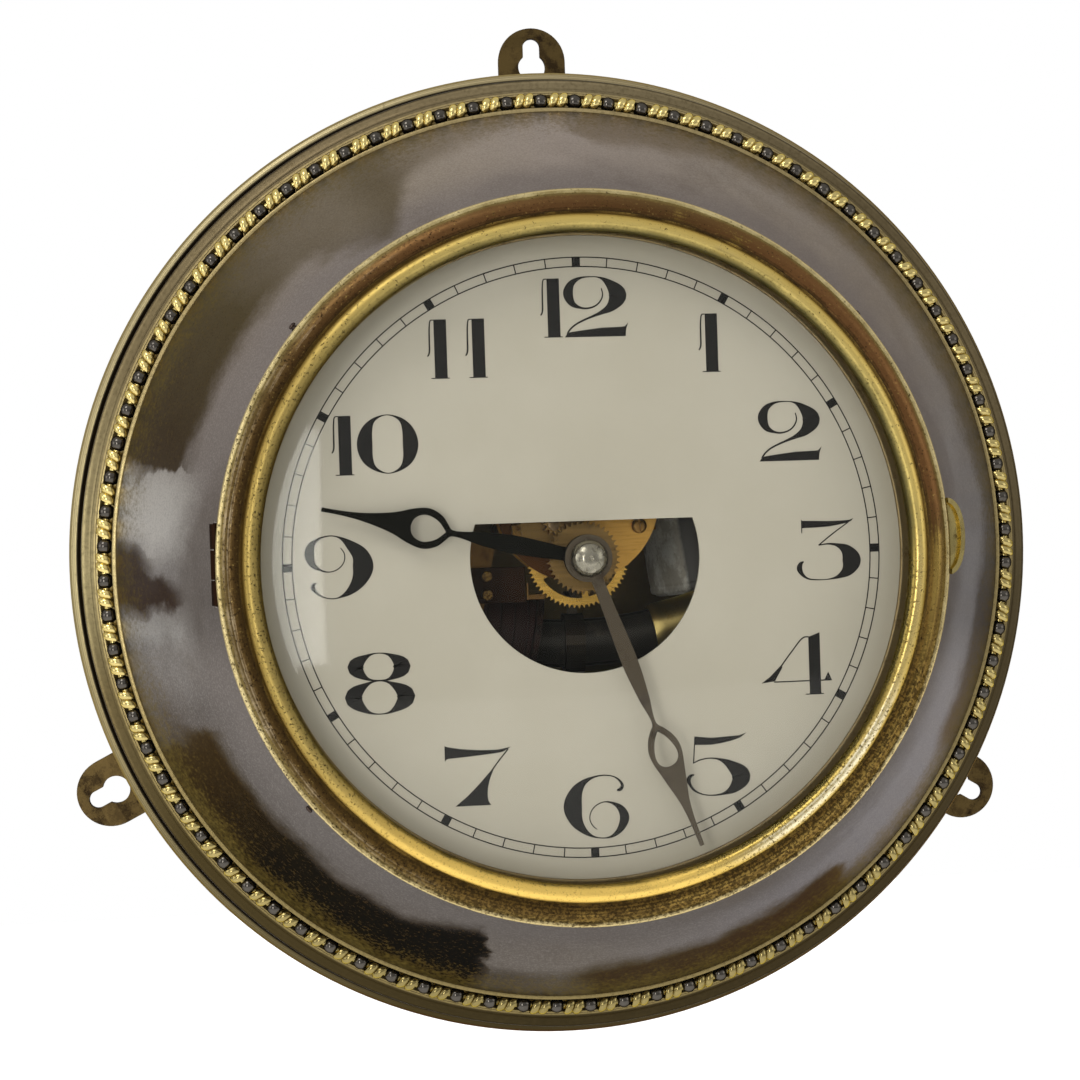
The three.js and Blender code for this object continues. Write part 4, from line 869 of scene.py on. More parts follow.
def pan_finish():
    """The back of the case: sandy brass, with the rolled rim toned as the band in front of it, painted light
    and shade included, plus a painted highlight at the upper left and painted shade on the roll's inner half.
    """
    f = Finish("sandy_brass")
    soft = f.cloud(11, 5.0, 0.6)
    fine = f.cloud(1.2, 6.0, 0.7)
    lines = f.rings(0.35, 0.01, 2.4)
    radius = f.radius()
    handled = f.step(f.cloud(48, 5.0, 0.6), 0.35, 0.68)
    back = f.mix(handled * 0.6 + f.step(soft, 0.4, 0.8) * 0.25, (0.25, 0.185, 0.085), (0.12, 0.083, 0.035))
    scratches = f.step(f.cloud(1.0, 3.0, 0.6, (0.06, 1, 1)), 0.62, 0.68)
    back = f.mix(scratches * 0.3, back, (0.42, 0.33, 0.17))
    clock = f.clock()
    rim = f.by_clock(clock, BRASS_TONES_WITH_PAINTED_LIGHT)
    lit = f.by_clock(clock, [(0, 0.4), (40, 0.1), (200, 0.0), (240, 0.3), (275, 0.6), (340, 0.7), (360, 0.4)])
    rim = f.mix(lit, rim, (0.44, 0.37, 0.2))
    # Painted shade on the roll's inner half, where it faces the shell's skirt.
    gap = (1 - f.step(radius, 126.2, 126.8)) * (1 - f.step(f.y / MM, -33.5, -32.5))
    rim = f.mix(gap, rim, (0.012, 0.009, 0.006))
    tone = f.mix(f.step(radius, 118.0, 123.0), back, rim)
    tone = f.mix(f.step(lines, 0.45, 0.6) * f.step(radius, 123.0, 124.0) * 0.45, tone, (0.03, 0.022, 0.01))
    tone = f.mix(f.step(fine, 0.55, 0.75) * 0.4, tone, (0.06, 0.042, 0.02))
    normal = f.bump(lines, 0.02, f.bump(fine, 0.012))
    return f.coated(
        base_color=tone, metallic=0.95, roughness=0.3 + soft * 0.2, normal=normal,
        specular_tint=(0.5, 0.38, 0.2),
    )


def cell_finish():
    """A dry cell's jacket: a scuffed pale side, the rest dull and dark."""
    f = Finish("scuffed_cell")
    soft = f.cloud(5, 6.0, 0.7, (1, 1, 0.6))
    fine = f.cloud(0.8, 5.0, 0.7)
    side = f.x / MM + (f.z / MM - CELL_CENTRE[2]) * 0.14
    pale = 1 - f.step(side + (fine - 0.5) * 0.8, 28.6, 29.8)
    scuffed = f.mix(f.step(soft, 0.42, 0.6), (0.6, 0.55, 0.44), (1.0, 0.97, 0.86))
    scuffed = f.mix(f.step(fine, 0.56, 0.7) * 0.45, scuffed, (0.25, 0.21, 0.15))
    tone = f.mix(pale, f.mix(soft, (0.075, 0.068, 0.055), (0.12, 0.108, 0.088)), scuffed)
    normal = f.bump(soft, 0.12, f.bump(fine, 0.03))
    return f.coated(base_color=tone, metallic=pale * 0.1, roughness=0.38 + fine * 0.2, normal=normal)


def plate_finish():
    """Brass movement plate: golden at the right, stained deep brown round the centre arbor."""
    f = Finish("stained_plate")
    soft = f.cloud(7, 5.0, 0.6)
    fine = f.cloud(0.8, 5.0, 0.65)
    lines = f.cloud(0.5, 3.0, 0.5, (0.08, 1, 1))
    reach = f.x / MM + f.z / MM * 0.12 + (soft - 0.5) * 16 + (fine - 0.5) * 4
    golden = f.step(reach, 0.0, 6.0)
    brass = f.mix(f.step(lines, 0.45, 0.65) * 0.35, (0.52, 0.29, 0.065), (0.3, 0.15, 0.03))
    tone = f.mix(golden, f.mix(soft, (0.03, 0.012, 0.005), (0.1, 0.04, 0.012)), brass)
    tone = f.mix(f.step(fine, 0.6, 0.72) * 0.5, tone, (0.05, 0.022, 0.008))
    return f.coated(
        base_color=tone, metallic=0.92, roughness=0.3 + soft * 0.15, normal=f.bump(lines, 0.01),
        specular_tint=(0.7, 0.45, 0.15),
    )


def block_finish():
    """Dark brown fibre; the two terminal screws in it are brass."""
    f = Finish("fibre_with_terminals")
    soft = f.cloud(2.5, 5.0, 0.6)
    fine = f.cloud(0.5, 4.0, 0.6)
    tone = f.mix(soft, (0.03, 0.011, 0.003), (0.012, 0.005, 0.002))
    across = f.x / MM - TERMINAL_X
    brass = 0.0
    for height in TERMINAL_HEIGHTS:
        along = f.z / MM - height
        away = f.reckon("SQRT", across * across + along * along)
        brass = (1 - f.step(away, 1.25, 1.4)) + brass
    tone = f.mix(brass, tone, f.mix(f.step(fine, 0.4, 0.6), (0.2, 0.12, 0.035), (0.05, 0.026, 0.009)))
    roughness = 0.5 - brass * 0.2 + (fine - 0.5) * 0.2
    return f.coated(
        base_color=tone, metallic=brass, roughness=roughness, normal=f.bump(fine, 0.02),
        specular_ior_level=0.05,
    )


def dial_finish():
    """Cream-grey enamel paint, yellower at the rim, with faint clouds, specks, darker handled patches and a
    fine relief.
    """
    f = Finish("cream_dial_paint")
    soft = f.cloud(30, 4.0)
    fine = f.cloud(1.1, 4.0, 0.6)
    radius = f.radius()
    tone = f.mix(f.step(soft, 0.3, 0.7), (0.475, 0.44, 0.355), (0.445, 0.41, 0.325))
    tone = f.mix(f.step(radius + (soft - 0.5) * 8, 64.0, 77.0) * 0.3, tone, (0.42, 0.37, 0.26))
    specks = f.step(f.cloud(0.7, 2.0), 0.72, 0.78)
    tone = f.mix(specks * 0.25, tone, (0.2, 0.16, 0.1))
    handled = f.step(f.cloud(9, 6.0, 0.7), 0.62, 0.8)
    tone = f.mix(handled * 0.3, tone, (0.38, 0.34, 0.25))
    roughness = 0.38 + (fine - 0.5) * 0.16
    return f.coated(base_color=tone, roughness=roughness, normal=f.bump(f.cloud(2.2, 3.0), 0.006))


def ink_finish():
    f = Finish("printing_ink")
    thin = f.step(f.cloud(1.4, 5.0, 0.7), 0.55, 0.8)
    tone = f.mix(thin, (0.009, 0.008, 0.007), (0.028, 0.025, 0.02))
    return f.coated(base_color=tone, roughness=0.45 + thin * 0.2, specular_ior_level=0.12)


def glass_finish():
    """Clear domed glass: see-through, with a reflection that grows towards the edge and faint dust."""
    f = Finish("clear_glass")
    facing = f.node("ShaderNodeFresnel", inputs={"IOR": 1.45})
    dust = f.step(f.cloud(5, 6.0, 0.75), 0.5, 0.9)
    clear = f.node("ShaderNodeBsdfTransparent", inputs={"Color": (0.985, 0.985, 0.975)})
    mirror = f.shader(base_color=(0.75, 0.75, 0.7), roughness=0.04 + dust * 0.12, metallic=1.0)
    share = facing * 0.3 + dust * 0.008
    mixed = f.node("ShaderNodeMixShader", inputs={0: share, 1: clear, 2: mirror})
    material = f.finished(mixed)
    material.surface_render_method = "BLENDED"
    return material


def tape_finish():
    """Dark red tape wound round the coil in slanting turns."""
    f = Finish("dark_red_tape")
    turn = f.reckon("FRACT", (f.x * 0.98 - f.z * 0.2 + f.y * 0.12) / MM / 3.4)
    seam = f.between(turn, 0.0, 0.12, 0.88, 1.0)
    soft = f.cloud(3, 4.0)
    tone = f.mix(soft, (0.034, 0.01, 0.007), (0.018, 0.008, 0.006))
    tone = f.mix((1 - seam) * 0.6, tone, (0.007, 0.004, 0.003))
    weave = f.cloud(0.5, 2.0)
    normal = f.bump(seam, 0.12, f.bump(weave, 0.02))
    return f.coated(base_color=tone, roughness=0.5 + weave * 0.2, normal=normal, specular_ior_level=0.25)


SHELL = shell_finish()
BEZEL = bezel_finish()
GILT = metal(
    "worn_gilt", (0.5, 0.4, 0.155), (0.12, 0.082, 0.028), 0.2, 0.5, 1.7, pits=0.6, painted_shade=GILT_PAINTED_SHADE
)
# Near-black pearls: partly tarnish, partly a painted dark reflection in their shiny domes.
PEARL = metal("dark_pearls", (0.06, 0.054, 0.046), (0.02, 0.017, 0.014), 0.14, 0.5, 3.0)
PAN = pan_finish()
PATINA = metal("olive_patina", (0.13, 0.095, 0.045), (0.038, 0.024, 0.012), 0.38, 0.55, 5.0, 0.9, pits=0.4)
LUG_BROWN = metal("browned_lugs", (0.075, 0.05, 0.018), (0.018, 0.011, 0.006), 0.42, 0.75, 3.0, 0.9, pits=0.6)
SURROUND = metal("brown_surround", (0.2, 0.15, 0.075), (0.09, 0.065, 0.03), 0.42, 0.5, 5.0, 0.7)
MOVEMENT_BRASS = metal("movement_brass", (0.4, 0.21, 0.045), (0.035, 0.013, 0.005), 0.3, 0.62, 6.0, 0.9)
PLATE_BRASS = plate_finish()
WHEEL_GILT = metal("wheel_gilt", (0.52, 0.31, 0.065), (0.26, 0.14, 0.03), 0.28, 0.35, 3.0)
MOTION_BRASS = metal("tarnished_wheels", (0.17, 0.105, 0.036), (0.05, 0.03, 0.014), 0.4, 0.55, 2.5, 0.9)
# Red-brown hinge, its tone darkened further as painted shade where it sits in the slot.
HINGE_BROWN = metal("red_brown_hinge", (0.013, 0.006, 0.0035), (0.007, 0.004, 0.003), 0.5, 0.5, 2.0, 0.8)
BRACKET_BROWN = metal("browned_bracket", (0.12, 0.065, 0.02), (0.03, 0.014, 0.006), 0.38, 0.6, 4.0, 0.9)
SLEEVE_GILT = metal("sleeve_brass", (0.6, 0.46, 0.17), (0.36, 0.25, 0.075), 0.3, 0.3, 6.0)
SCREW_BRASS = metal("browned_brass_screws", (0.2, 0.11, 0.03), (0.05, 0.026, 0.009), 0.35, 0.5, 2.0, 0.9)
STEEL = metal("worn_steel", (0.2, 0.175, 0.14), (0.07, 0.055, 0.038), 0.3, 0.5, 2.5)
BROWNED_STEEL = metal("browned_steel", (0.1, 0.068, 0.035), (0.04, 0.025, 0.013), 0.34, 0.5, 1.5)
NUT = metal("polished_nut", (0.27, 0.25, 0.2), (0.12, 0.105, 0.078), 0.22, 0.55, 1.4)
SCREW_BLACK = metal("blackened_screws", (0.05, 0.036, 0.03), (0.02, 0.015, 0.012), 0.35, 0.5, 1.0, 0.8)
HOUR_BLACK = metal("blackened_hand", (0.003, 0.003, 0.002), (0.008, 0.006, 0.004), 0.55, 0.35, 3.0, 0.95)
MINUTE_BROWN = metal("browned_hand", (0.075, 0.06, 0.042), (0.035, 0.025, 0.017), 0.38, 0.5, 4.0, 0.6)
MAGNET = metal("dull_magnet_steel", (0.04, 0.037, 0.032), (0.07, 0.06, 0.048), 0.4, 0.5, 5.0, 0.6)
BLACKED = metal("blackened_clamp", (0.035, 0.029, 0.022), (0.016, 0.012, 0.009), 0.4, 0.5, 3.0, 0.8)
CELL = cell_finish()
FIBRE = block_finish()
BOBBIN = dull("coil_board", (0.025, 0.01, 0.006), (0.01, 0.005, 0.003), 0.55, 3.0)
TAPE = tape_finish()
COVER = dull("waxed_cotton", (0.06, 0.04, 0.025), (0.028, 0.018, 0.012), 0.65, 1.2, 0.03)
PAINT = dial_finish()
PRINT = ink_finish()
GLASS = glass_finish()


# Case
band_run = Vector((math.cos(math.radians(BAND_SLOPE)), math.sin(math.radians(BAND_SLOPE))))
band_out = Vector((band_run.y, -band_run.x))
flange_run = Vector(BAND_START) - Vector((FLANGE_TOP, LIP_FRONT))
flange_out = Vector((flange_run.y, -flange_run.x)).normalized()


def on_band(along, out):
    return tuple(Vector(BAND_START) + band_run * along + band_out * out)


def on_flange(share, out):
    sag = 4 * FLANGE_SAG * share * (1 - share)
    return tuple(Vector((FLANGE_TOP, LIP_FRONT)) + flange_run * share + flange_out * (out - sag))


def front_shell():
    front = [on_flange(share / 16, 0) for share in range(0, 16)]
    back = [on_flange(share / 8, -SHEET) for share in range(7, 0, -1)]
    half = [(0, 0), (0.35, 0.35), (0.8, 0.5), (1.15, 0.3), (1.4, -0.6), (1.9, -1.5), (2.7, -CHANNEL_DEPTH)]
    channel = half + [(BAND_WIDTH - along, out) for along, out in half[::-1]]
    under = [(BAND_WIDTH - 1.1, -CHANNEL_DEPTH - SHEET), (1.1, -CHANNEL_DEPTH - SHEET)]
    rim = [
        (120.3, -47.75), (120.6, -47.35), (121.2, -47.15), (RIM_RADIUS - 0.7, -46.8),
        (RIM_RADIUS - 0.15, -46.75), (RIM_RADIUS, RIM_Y), (RIM_RADIUS - 0.1, RIM_Y + 0.6),
        (SKIRT_RADIUS, -45.2), (SKIRT_RADIUS, SKIRT_END), (SKIRT_RADIUS - SHEET, SKIRT_END),
        (SKIRT_RADIUS - SHEET, -45.4), (118.6, -46.4),
    ]
    profile = [
        (LIP_INSIDE, LIP_FRONT), *front, *[on_band(*point) for point in channel], *rim,
        *[on_band(*point) for point in under], *back, (FLANGE_TOP - 0.5, LIP_FRONT + SHEET),
        (LIP_INSIDE, LIP_FRONT + SHEET),
    ]
    slot = block(-85.15, -79.0, -103.4, -96.75, HINGE_Z - HINGE_HALF, HINGE_Z + HINGE_HALF)
    holes = [
        tube([(0, FRAME_SCREW_Y, 80.0), (0, FRAME_SCREW_Y, 88.0)], 0.86, 16).moved(at_angle(angle))
        for angle in FRAME_SCREW_ANGLES
    ]
    sheet = carved(turned(profile), [slot, *holes])
    piece("shell_sheet", sheet, "case", SHELL, ["front_shell"])


def bead_band():
    """The moulded wire: round pearls with twisted double reels between them, on a thin core."""
    core = turned(arc(BEAD_RING, 0.9, 0, 340, 17))
    piece("bead_core", core, "case", GILT, ["bead_band"])
    side = arc((0, 0), PEARL_RADIUS, 80, -80, 9)
    pearl = turned([(0, PEARL_RADIUS), *side, (0, -PEARL_RADIUS)], 16).moved(turn_about("X", 90 - BAND_SLOPE))
    lobe = [(1.2, 2.2), (1.95, 2.05), (2.25, 1.6), (2.3, 1.1), (2.2, 0.6), (1.9, 0.2), (1.75, 0.0)]
    lobes = [(radius, -y) for radius, y in lobe] + lobe[-2::-1]
    twist = Matrix(((1, 0, 0.3, 0), (0, 1, 0, 0), (0, 0, 1, 0), (0, 0, 0, 1)))
    reel = turned([(0, -2.2), *lobes, (0, 2.2)], 16).moved(twist @ turn_about("Z", 90))
    for name, form, finish, first, seed in (
        ("bead_pearls", pearl, PEARL, FIRST_PEARL, 3),
        ("bead_reels", reel, GILT, FIRST_PEARL + 180 / BEADS, 5),
    ):
        mesh = round_the_axis(form, finish, BEADS, *BEAD_RING, first, uneven=0.03, seed=seed)
        piece(name, mesh, "case", finish)


def rear_pan():
    roll = arc(ROLL_RING, ROLL_RADIUS, -190, 80, 30)
    grooved = [(radius + (0.18 if i in (8, 9, 14, 15) else 0), y) for i, (radius, y) in enumerate(roll)]
    wall = smooth_path([(PAN_FLAT, PAN_BACK), (109.6, -2.5), (112.2, -4.6), (114.7, -9.4)], 4)
    inner_wall = smooth_path([(113.7, -9.7), (111.3, -5.2), (108.9, -3.4), (105.9, PAN_BACK - SHEET)], 4)
    profile = [
        (0, PAN_BACK), (60, PAN_BACK), *[tuple(point) for point in wall],
        (PAN_OUTER, -26.4), (PAN_OUTER, -30.2), *grooved[::-1][2:-3],
        (PAN_INNER, -32.9), (PAN_INNER, -26.4), *[tuple(point) for point in inner_wall],
        (60, PAN_BACK - SHEET), (0, PAN_BACK - SHEET),
    ]
    piece("pan_sheet", turned(profile), "case", PAN, ["rear_pan"])


def lugs():
    tip = arc((0, LUG_TIP), LUG_HALF, 0, 180, 28)
    outline = [(-LUG_HALF, 91.0), (-LUG_HALF + 1, 90.0), (LUG_HALF - 1, 90.0), (LUG_HALF, 91.0), *tip]
    waist = math.degrees(math.acos(KEY_NECK / KEY_HEAD))
    keyhole = arc((0, 144.9), KEY_NECK, 0, 180, 16)
    keyhole += arc((0, 139.1), KEY_HEAD, 180 - waist, 360 + waist, 26)
    strap = slab(outline, -1.5, 1.5, [keyhole, circle((0, RIVET_PLACE), 1.8, 24)])
    rivet = lathe([
        (0, -4.15), (1.2, -4.1), (2.0, -3.85), (2.45, -3.4), (2.5, -3.0), (1.5, -3.0), (1.5, -0.2), (0, -0.2),
    ], 0.08, 28, (0, RIVET_PLACE))
    for side, angle in LUG_ANGLES.items():
        turn = at_angle(angle)
        nodes = [f"hanging_lug_{side}"]
        piece(f"lug_strap_{side}", strap.moved(turn), "case", LUG_BROWN, nodes, edge=0.25)
        piece(f"rivet_{side}", rivet.moved(turn), "case", PATINA, [f"lug_rivet_{side}"])


def dial_surround():
    ring = turned(eased([
        (74.0, -96.1), (74.4, -96.25), (78.0, -96.1), (78.3, -97.0), (78.3, -100.2), (79.2, -100.2),
        (79.2, -93.3), (78.3, -93.3), (78.3, -95.3), (74.0, -95.3),
    ], 0.12, 2))
    tabs = [block(-3, 3, -93.9, -93.3, 75.3, 78.75).moved(at_angle(angle)) for angle in (60, 180, 300)]
    piece("dial_frame", carved(ring, tabs, "UNION"), "case", SURROUND, ["dial_surround"])
    head = lathe([(0, 0), (0.9, 0), (0.9, 0.45), (0.5, 0.7), (0, 0.72)], 0.1, 20)
    shank = turned([(0, -4.2), (0.5, -4.2), (0.5, 0.1), (0, 0.1)], 14)
    screw = slotted(head, shank, block(-1.2, 1.2, 0.45, 1.0, -0.12, 0.12))
    screw.transform(turn_about("X", 90))
    for number, first in enumerate(FRAME_SCREW_ANGLES[:2], 1):
        pair = round_the_axis(
            screw.copy(), SCREW_BLACK, 2, FRAME_SCREW_RADIUS, FRAME_SCREW_Y, first, spin=2.0, seed=number
        )
        nodes = [f"surround_screw_{number}", f"surround_screw_{number + 2}"]
        piece(f"frame_screws_{number}", pair, "case", SCREW_BLACK, nodes, sharp=30)


# Dial
def one(x, foot):
    """A figure one with its stem's middle at x."""
    height = 13.5
    stem = [(x - 1.43, foot), (x + 1.43, foot), (x + 1.43, foot + height), (x - 1.43, foot + height)]
    base = [(x - 2.3, foot - 0.02), (x + 1.9, foot - 0.02), (x + 1.9, foot + 0.2), (x - 2.3, foot + 0.2)]
    top = foot + height
    flag = [
        (x - 1.3, top - 0.1, 0.1), (x - 2.1, top - 0.2, 0.13), (x - 2.4, top - 1.6, 0.16),
        (x - 2.5, top - 5.0, 0.18), (x - 2.6, top - 7.6, 0.18), (x - 3.0, top - 8.4, 0.15),
    ]
    return [("slab", stem), ("slab", base), ("stroke", flag)]


TWO_STROKE = [
    (50.2, 32, 0.12), (50.45, 30.5, 0.15), (49.9, 29.1, 0.17), (48.7, 28, 0.18), (46.8, 27.45, 0.2),
    (45, 27.7, 0.3), (43.3, 28.7, 0.75), (42.45, 31, 1.15), (43.3, 33.2, 0.75), (45.2, 34.4, 0.3),
    (47.5, 34.7, 0.13), (49.9, 34.45, 0.2), (51.9, 33.2, 0.9), (53.9, 30.4, 2.1), (52.4, 27.8, 1.15),
    (50.2, 26.5, 0.5), (48, 25.6, 0.27), (46, 24.8, 0.22), (44, 23.8, 0.2), (42.7, 22.7, 0.2),
    (42, 21.7, 0.2),
]
TWO_FOOT = [
    (41.4, 20.9), (55.5, 20.9), (55.65, 22.5), (56.2, 24), (55.3, 23.1), (52.5, 23), (50, 22.95),
    (46, 22.5), (43, 22.1), (42.1, 21.9),
]


def two(x, z):
    """A figure two, moved by x and z from its place at two o'clock."""
    stroke = [(a + x, b + z, half) for a, b, half in TWO_STROKE]
    foot = [(a + x, b + z) for a, b in TWO_FOOT]
    return [("stroke", stroke), ("slab", foot)]


def zero():
    side = [(47.5, 33, 0.45), (49.1, 30.6, 1.3), (49.65, 27.4, 1.78), (49.1, 24.2, 1.3), (47.4, 21.9, 0.45)]
    left = [(-x, z, half) for x, z, half in side]
    right = [(-88.9 + x, z, half) for x, z, half in side[::-1]]
    return [("loop", [(-44.45, 34.1, 0.1), *left, (-44.45, 20.8, 0.1), *right])]


NUMERALS = {
    "one": one(31.0, 42.0),
    "two": two(0, 0),
    "three": [
        ("slab", [(50.75, 7.2), (51, 6.8), (54, 6.7), (57.5, 6.55), (61, 6.6), (62.3, 6.7), (63.2, 7.05),
                  (62.7, 6.45), (61.8, 6.05), (60, 5.7), (57.5, 5.3), (54.5, 5.15), (51, 5.1), (50.95, 3.9),
                  (50.75, 3.9)]),
        ("stroke", [(62, 6.2, 0.12), (58.2, 3.6, 0.14), (54.75, 1, 0.14)]),
        ("stroke", [(54.75, 1, 0.12), (57.2, 1.25, 0.2), (59.3, 0.85, 0.45), (61.3, -0.35, 1.35),
                    (62.45, -2.7, 2.25), (61.5, -5, 1.45), (59.4, -6.4, 0.5), (57.3, -6.95, 0.15),
                    (54.3, -7.05, 0.13), (52, -6.7, 0.2), (50.7, -5.7, 0.4), (50.05, -4.3, 0.65),
                    (50.4, -3.2, 0.45), (51.1, -2.7, 0.12)]),
    ],
    "four": [
        ("slab", [(51.6, -20.3), (54.3, -19.3), (54.3, -33.7), (51.6, -33.7)]),
        ("slab", [(50.6, -33.75), (54.9, -33.75), (54.9, -33.5), (50.6, -33.5)]),
        ("stroke", [(51.7, -20.25, 0.15), (50.4, -20.4, 0.15), (47.7, -23.4, 0.15), (45, -26.8, 0.15)]),
        ("slab", [(40.2, -30.7), (42.2, -29.3), (44.9, -26.7), (45.3, -27.1), (44.2, -28.9), (43.4, -30.3)]),
        ("stroke", [(43.2, -30.5, 0.14), (50, -30.5, 0.14), (56.9, -30.5, 0.14)]),
        ("slab", [(55.1, -30.45), (56.1, -28.6), (56.9, -30.45)]),
    ],
    "five": [
        ("slab", [(24, -42.3), (28, -42.8), (32, -42.6), (34.5, -42.5), (36.3, -41.9), (34.8, -43),
                  (32.5, -43.7), (30.5, -44.1), (28, -44.4), (24.1, -44.3)]),
        ("stroke", [(24.1, -42.4, 0.13), (23.85, -45.5, 0.13), (23.6, -48.6, 0.13)]),
        ("stroke", [(23.5, -48.5, 0.12), (25.2, -47.8, 0.15), (27.6, -47.5, 0.15), (29.8, -47.9, 0.3),
                    (32.3, -49.3, 1.1), (34.7, -52, 2.2), (33, -54.6, 1.2), (30.7, -55.8, 0.35),
                    (28, -56.15, 0.15), (25.5, -55.8, 0.15), (23.6, -54.8, 0.25), (22.6, -53.4, 0.35),
                    (22.3, -52.3, 0.5), (22.9, -51.4, 0.35), (23.7, -51.2, 0.12)]),
    ],
    "six": [
        ("stroke", [(5.5, -53.9, 0.2), (6.3, -53.7, 0.4), (6.8, -52.9, 0.35), (6.2, -51.7, 0.25),
                    (4.8, -50.7, 0.15), (2.5, -50.3, 0.15), (0, -50.7, 0.25), (-2.2, -51.8, 0.7),
                    (-4, -54, 1.5), (-4.85, -57.3, 2.15), (-4.1, -60.6, 1.5), (-2.3, -63, 0.7),
                    (-0.4, -64.3, 0.25), (2, -64.8, 0.12), (4, -64.5, 0.3), (6, -62.9, 0.75),
                    (7.1, -60.3, 1.1), (6.3, -58.2, 0.8), (4.7, -56.95, 0.35), (2.7, -56.45, 0.13),
                    (0.7, -57.1, 0.12), (-0.6, -58.5, 0.12), (-1, -60.3, 0.12), (-0.3, -61.9, 0.12),
                    (0.6, -62.7, 0.1)]),
    ],
    "seven": [
        ("slab", [(-33.9, -41.9), (-33.3, -42.2), (-30, -42.8), (-26, -43.2), (-22, -43.3), (-20, -43),
                  (-18.6, -42.7), (-20.5, -43.8), (-22.5, -44.1), (-26, -44.4), (-30, -44.7),
                  (-33.3, -44.9), (-33.9, -45.5)]),
        ("stroke", [(-19.3, -43.2, 0.15), (-21.2, -45.4, 0.15), (-23.3, -48.1, 0.15)]),
        ("slab", [(-23.4, -48), (-26.5, -51.3), (-29, -53.7), (-31.8, -55.9), (-23.6, -55.9), (-24.2, -55),
                  (-24.4, -53.5), (-24.2, -51.7), (-23.7, -49.8), (-22.9, -48)]),
    ],
    "eight": [
        ("loop", [(-48.3, -20.05, 0.12), (-50.6, -20.6, 0.4), (-53.45, -23.1, 1.85), (-50.9, -25.8, 0.4),
                  (-48.2, -26.3, 0.15), (-45.6, -25.9, 0.4), (-42.95, -23.25, 2), (-45.6, -20.6, 0.4)]),
        ("loop", [(-48.2, -26.35, 0.15), (-50.8, -27, 0.4), (-54.1, -30, 2), (-50.9, -33.4, 0.4),
                  (-48.1, -33.95, 0.12), (-45.5, -33.4, 0.4), (-42.2, -30.1, 2.1), (-45.6, -27, 0.4)]),
    ],
    "nine": [
        ("stroke", [(-55.9, 4.2, 0.1), (-55.1, 2.9, 0.12), (-55.1, 1.4, 0.12), (-55.8, 0.1, 0.12),
                    (-57.2, -0.9, 0.12), (-59, -1.2, 0.13), (-60.8, -0.6, 0.3), (-62.4, 0.7, 0.75),
                    (-63, 3, 1.1), (-62.4, 5, 0.75), (-60.8, 6.35, 0.3), (-58.2, 7, 0.13),
                    (-56, 6.5, 0.25), (-53.6, 4.7, 1.1), (-51.5, 2.4, 1.9), (-50.95, -0.2, 2.35),
                    (-51.9, -3.2, 1.7), (-54.2, -5.8, 0.8), (-56.4, -7, 0.2), (-58, -7.3, 0.12),
                    (-60, -6.9, 0.15), (-61.7, -5.8, 0.3), (-62.45, -4.7, 0.5), (-62.1, -3.8, 0.3),
                    (-61.5, -3.7, 0.1)]),
    ],
    "ten": one(-54.1, 20.6) + zero(),
    "eleven": one(-31.7, 42.0) + one(-23.0, 42.0),
    "twelve": one(-5.5, 50.8) + two(-44.5, 29.85),
}


def numeral(strokes):
    forms = []
    for kind, points in strokes:
        if kind == "slab":
            forms.append(slab(points, INK_FRONT, INK_DEPTH))
        else:
            forms.append(ribbon(points, kind == "loop"))
    return carved(forms[0], forms[1:], "UNION") if len(forms) > 1 else forms[0]


def dial():
    start = math.degrees(math.asin(WINDOW_TOP / WINDOW_RADIUS))
    window = arc(CENTRE, WINDOW_RADIUS, 180 - start, 360 + start, 90)
    disc = slab(circle(CENTRE, DIAL_RADIUS, 180), DIAL_Y, 0.8, [window])
    piece("dial_sheet", disc, "case", PAINT, ["dial"], edge=0.1)
    printed = {f"numeral_{name}": numeral(strokes) for name, strokes in NUMERALS.items()}
    back = INK_FRONT + INK_DEPTH
    for number, radius in enumerate(TRACK, 1):
        inside, outside = radius - 0.13, radius + 0.13
        line = [(inside, back), (outside, back), (outside, INK_FRONT), (inside, INK_FRONT)]
        printed[f"track_line_{number}"] = turned(line, 180)
    half = (TRACK[1] - TRACK[0]) / 2
    for name, width, copies in (("minute_marks", 0.26, 60), ("hour_marks", 1.9, 12)):
        mark = block(-width / 2, width / 2, -0.04, 0.02, -half, half)
        printed[name] = round_the_axis(mark, PRINT, copies, sum(TRACK) / 2, DIAL_Y)
    for name, form in printed.items():
        piece(name, form, "case", PRINT)


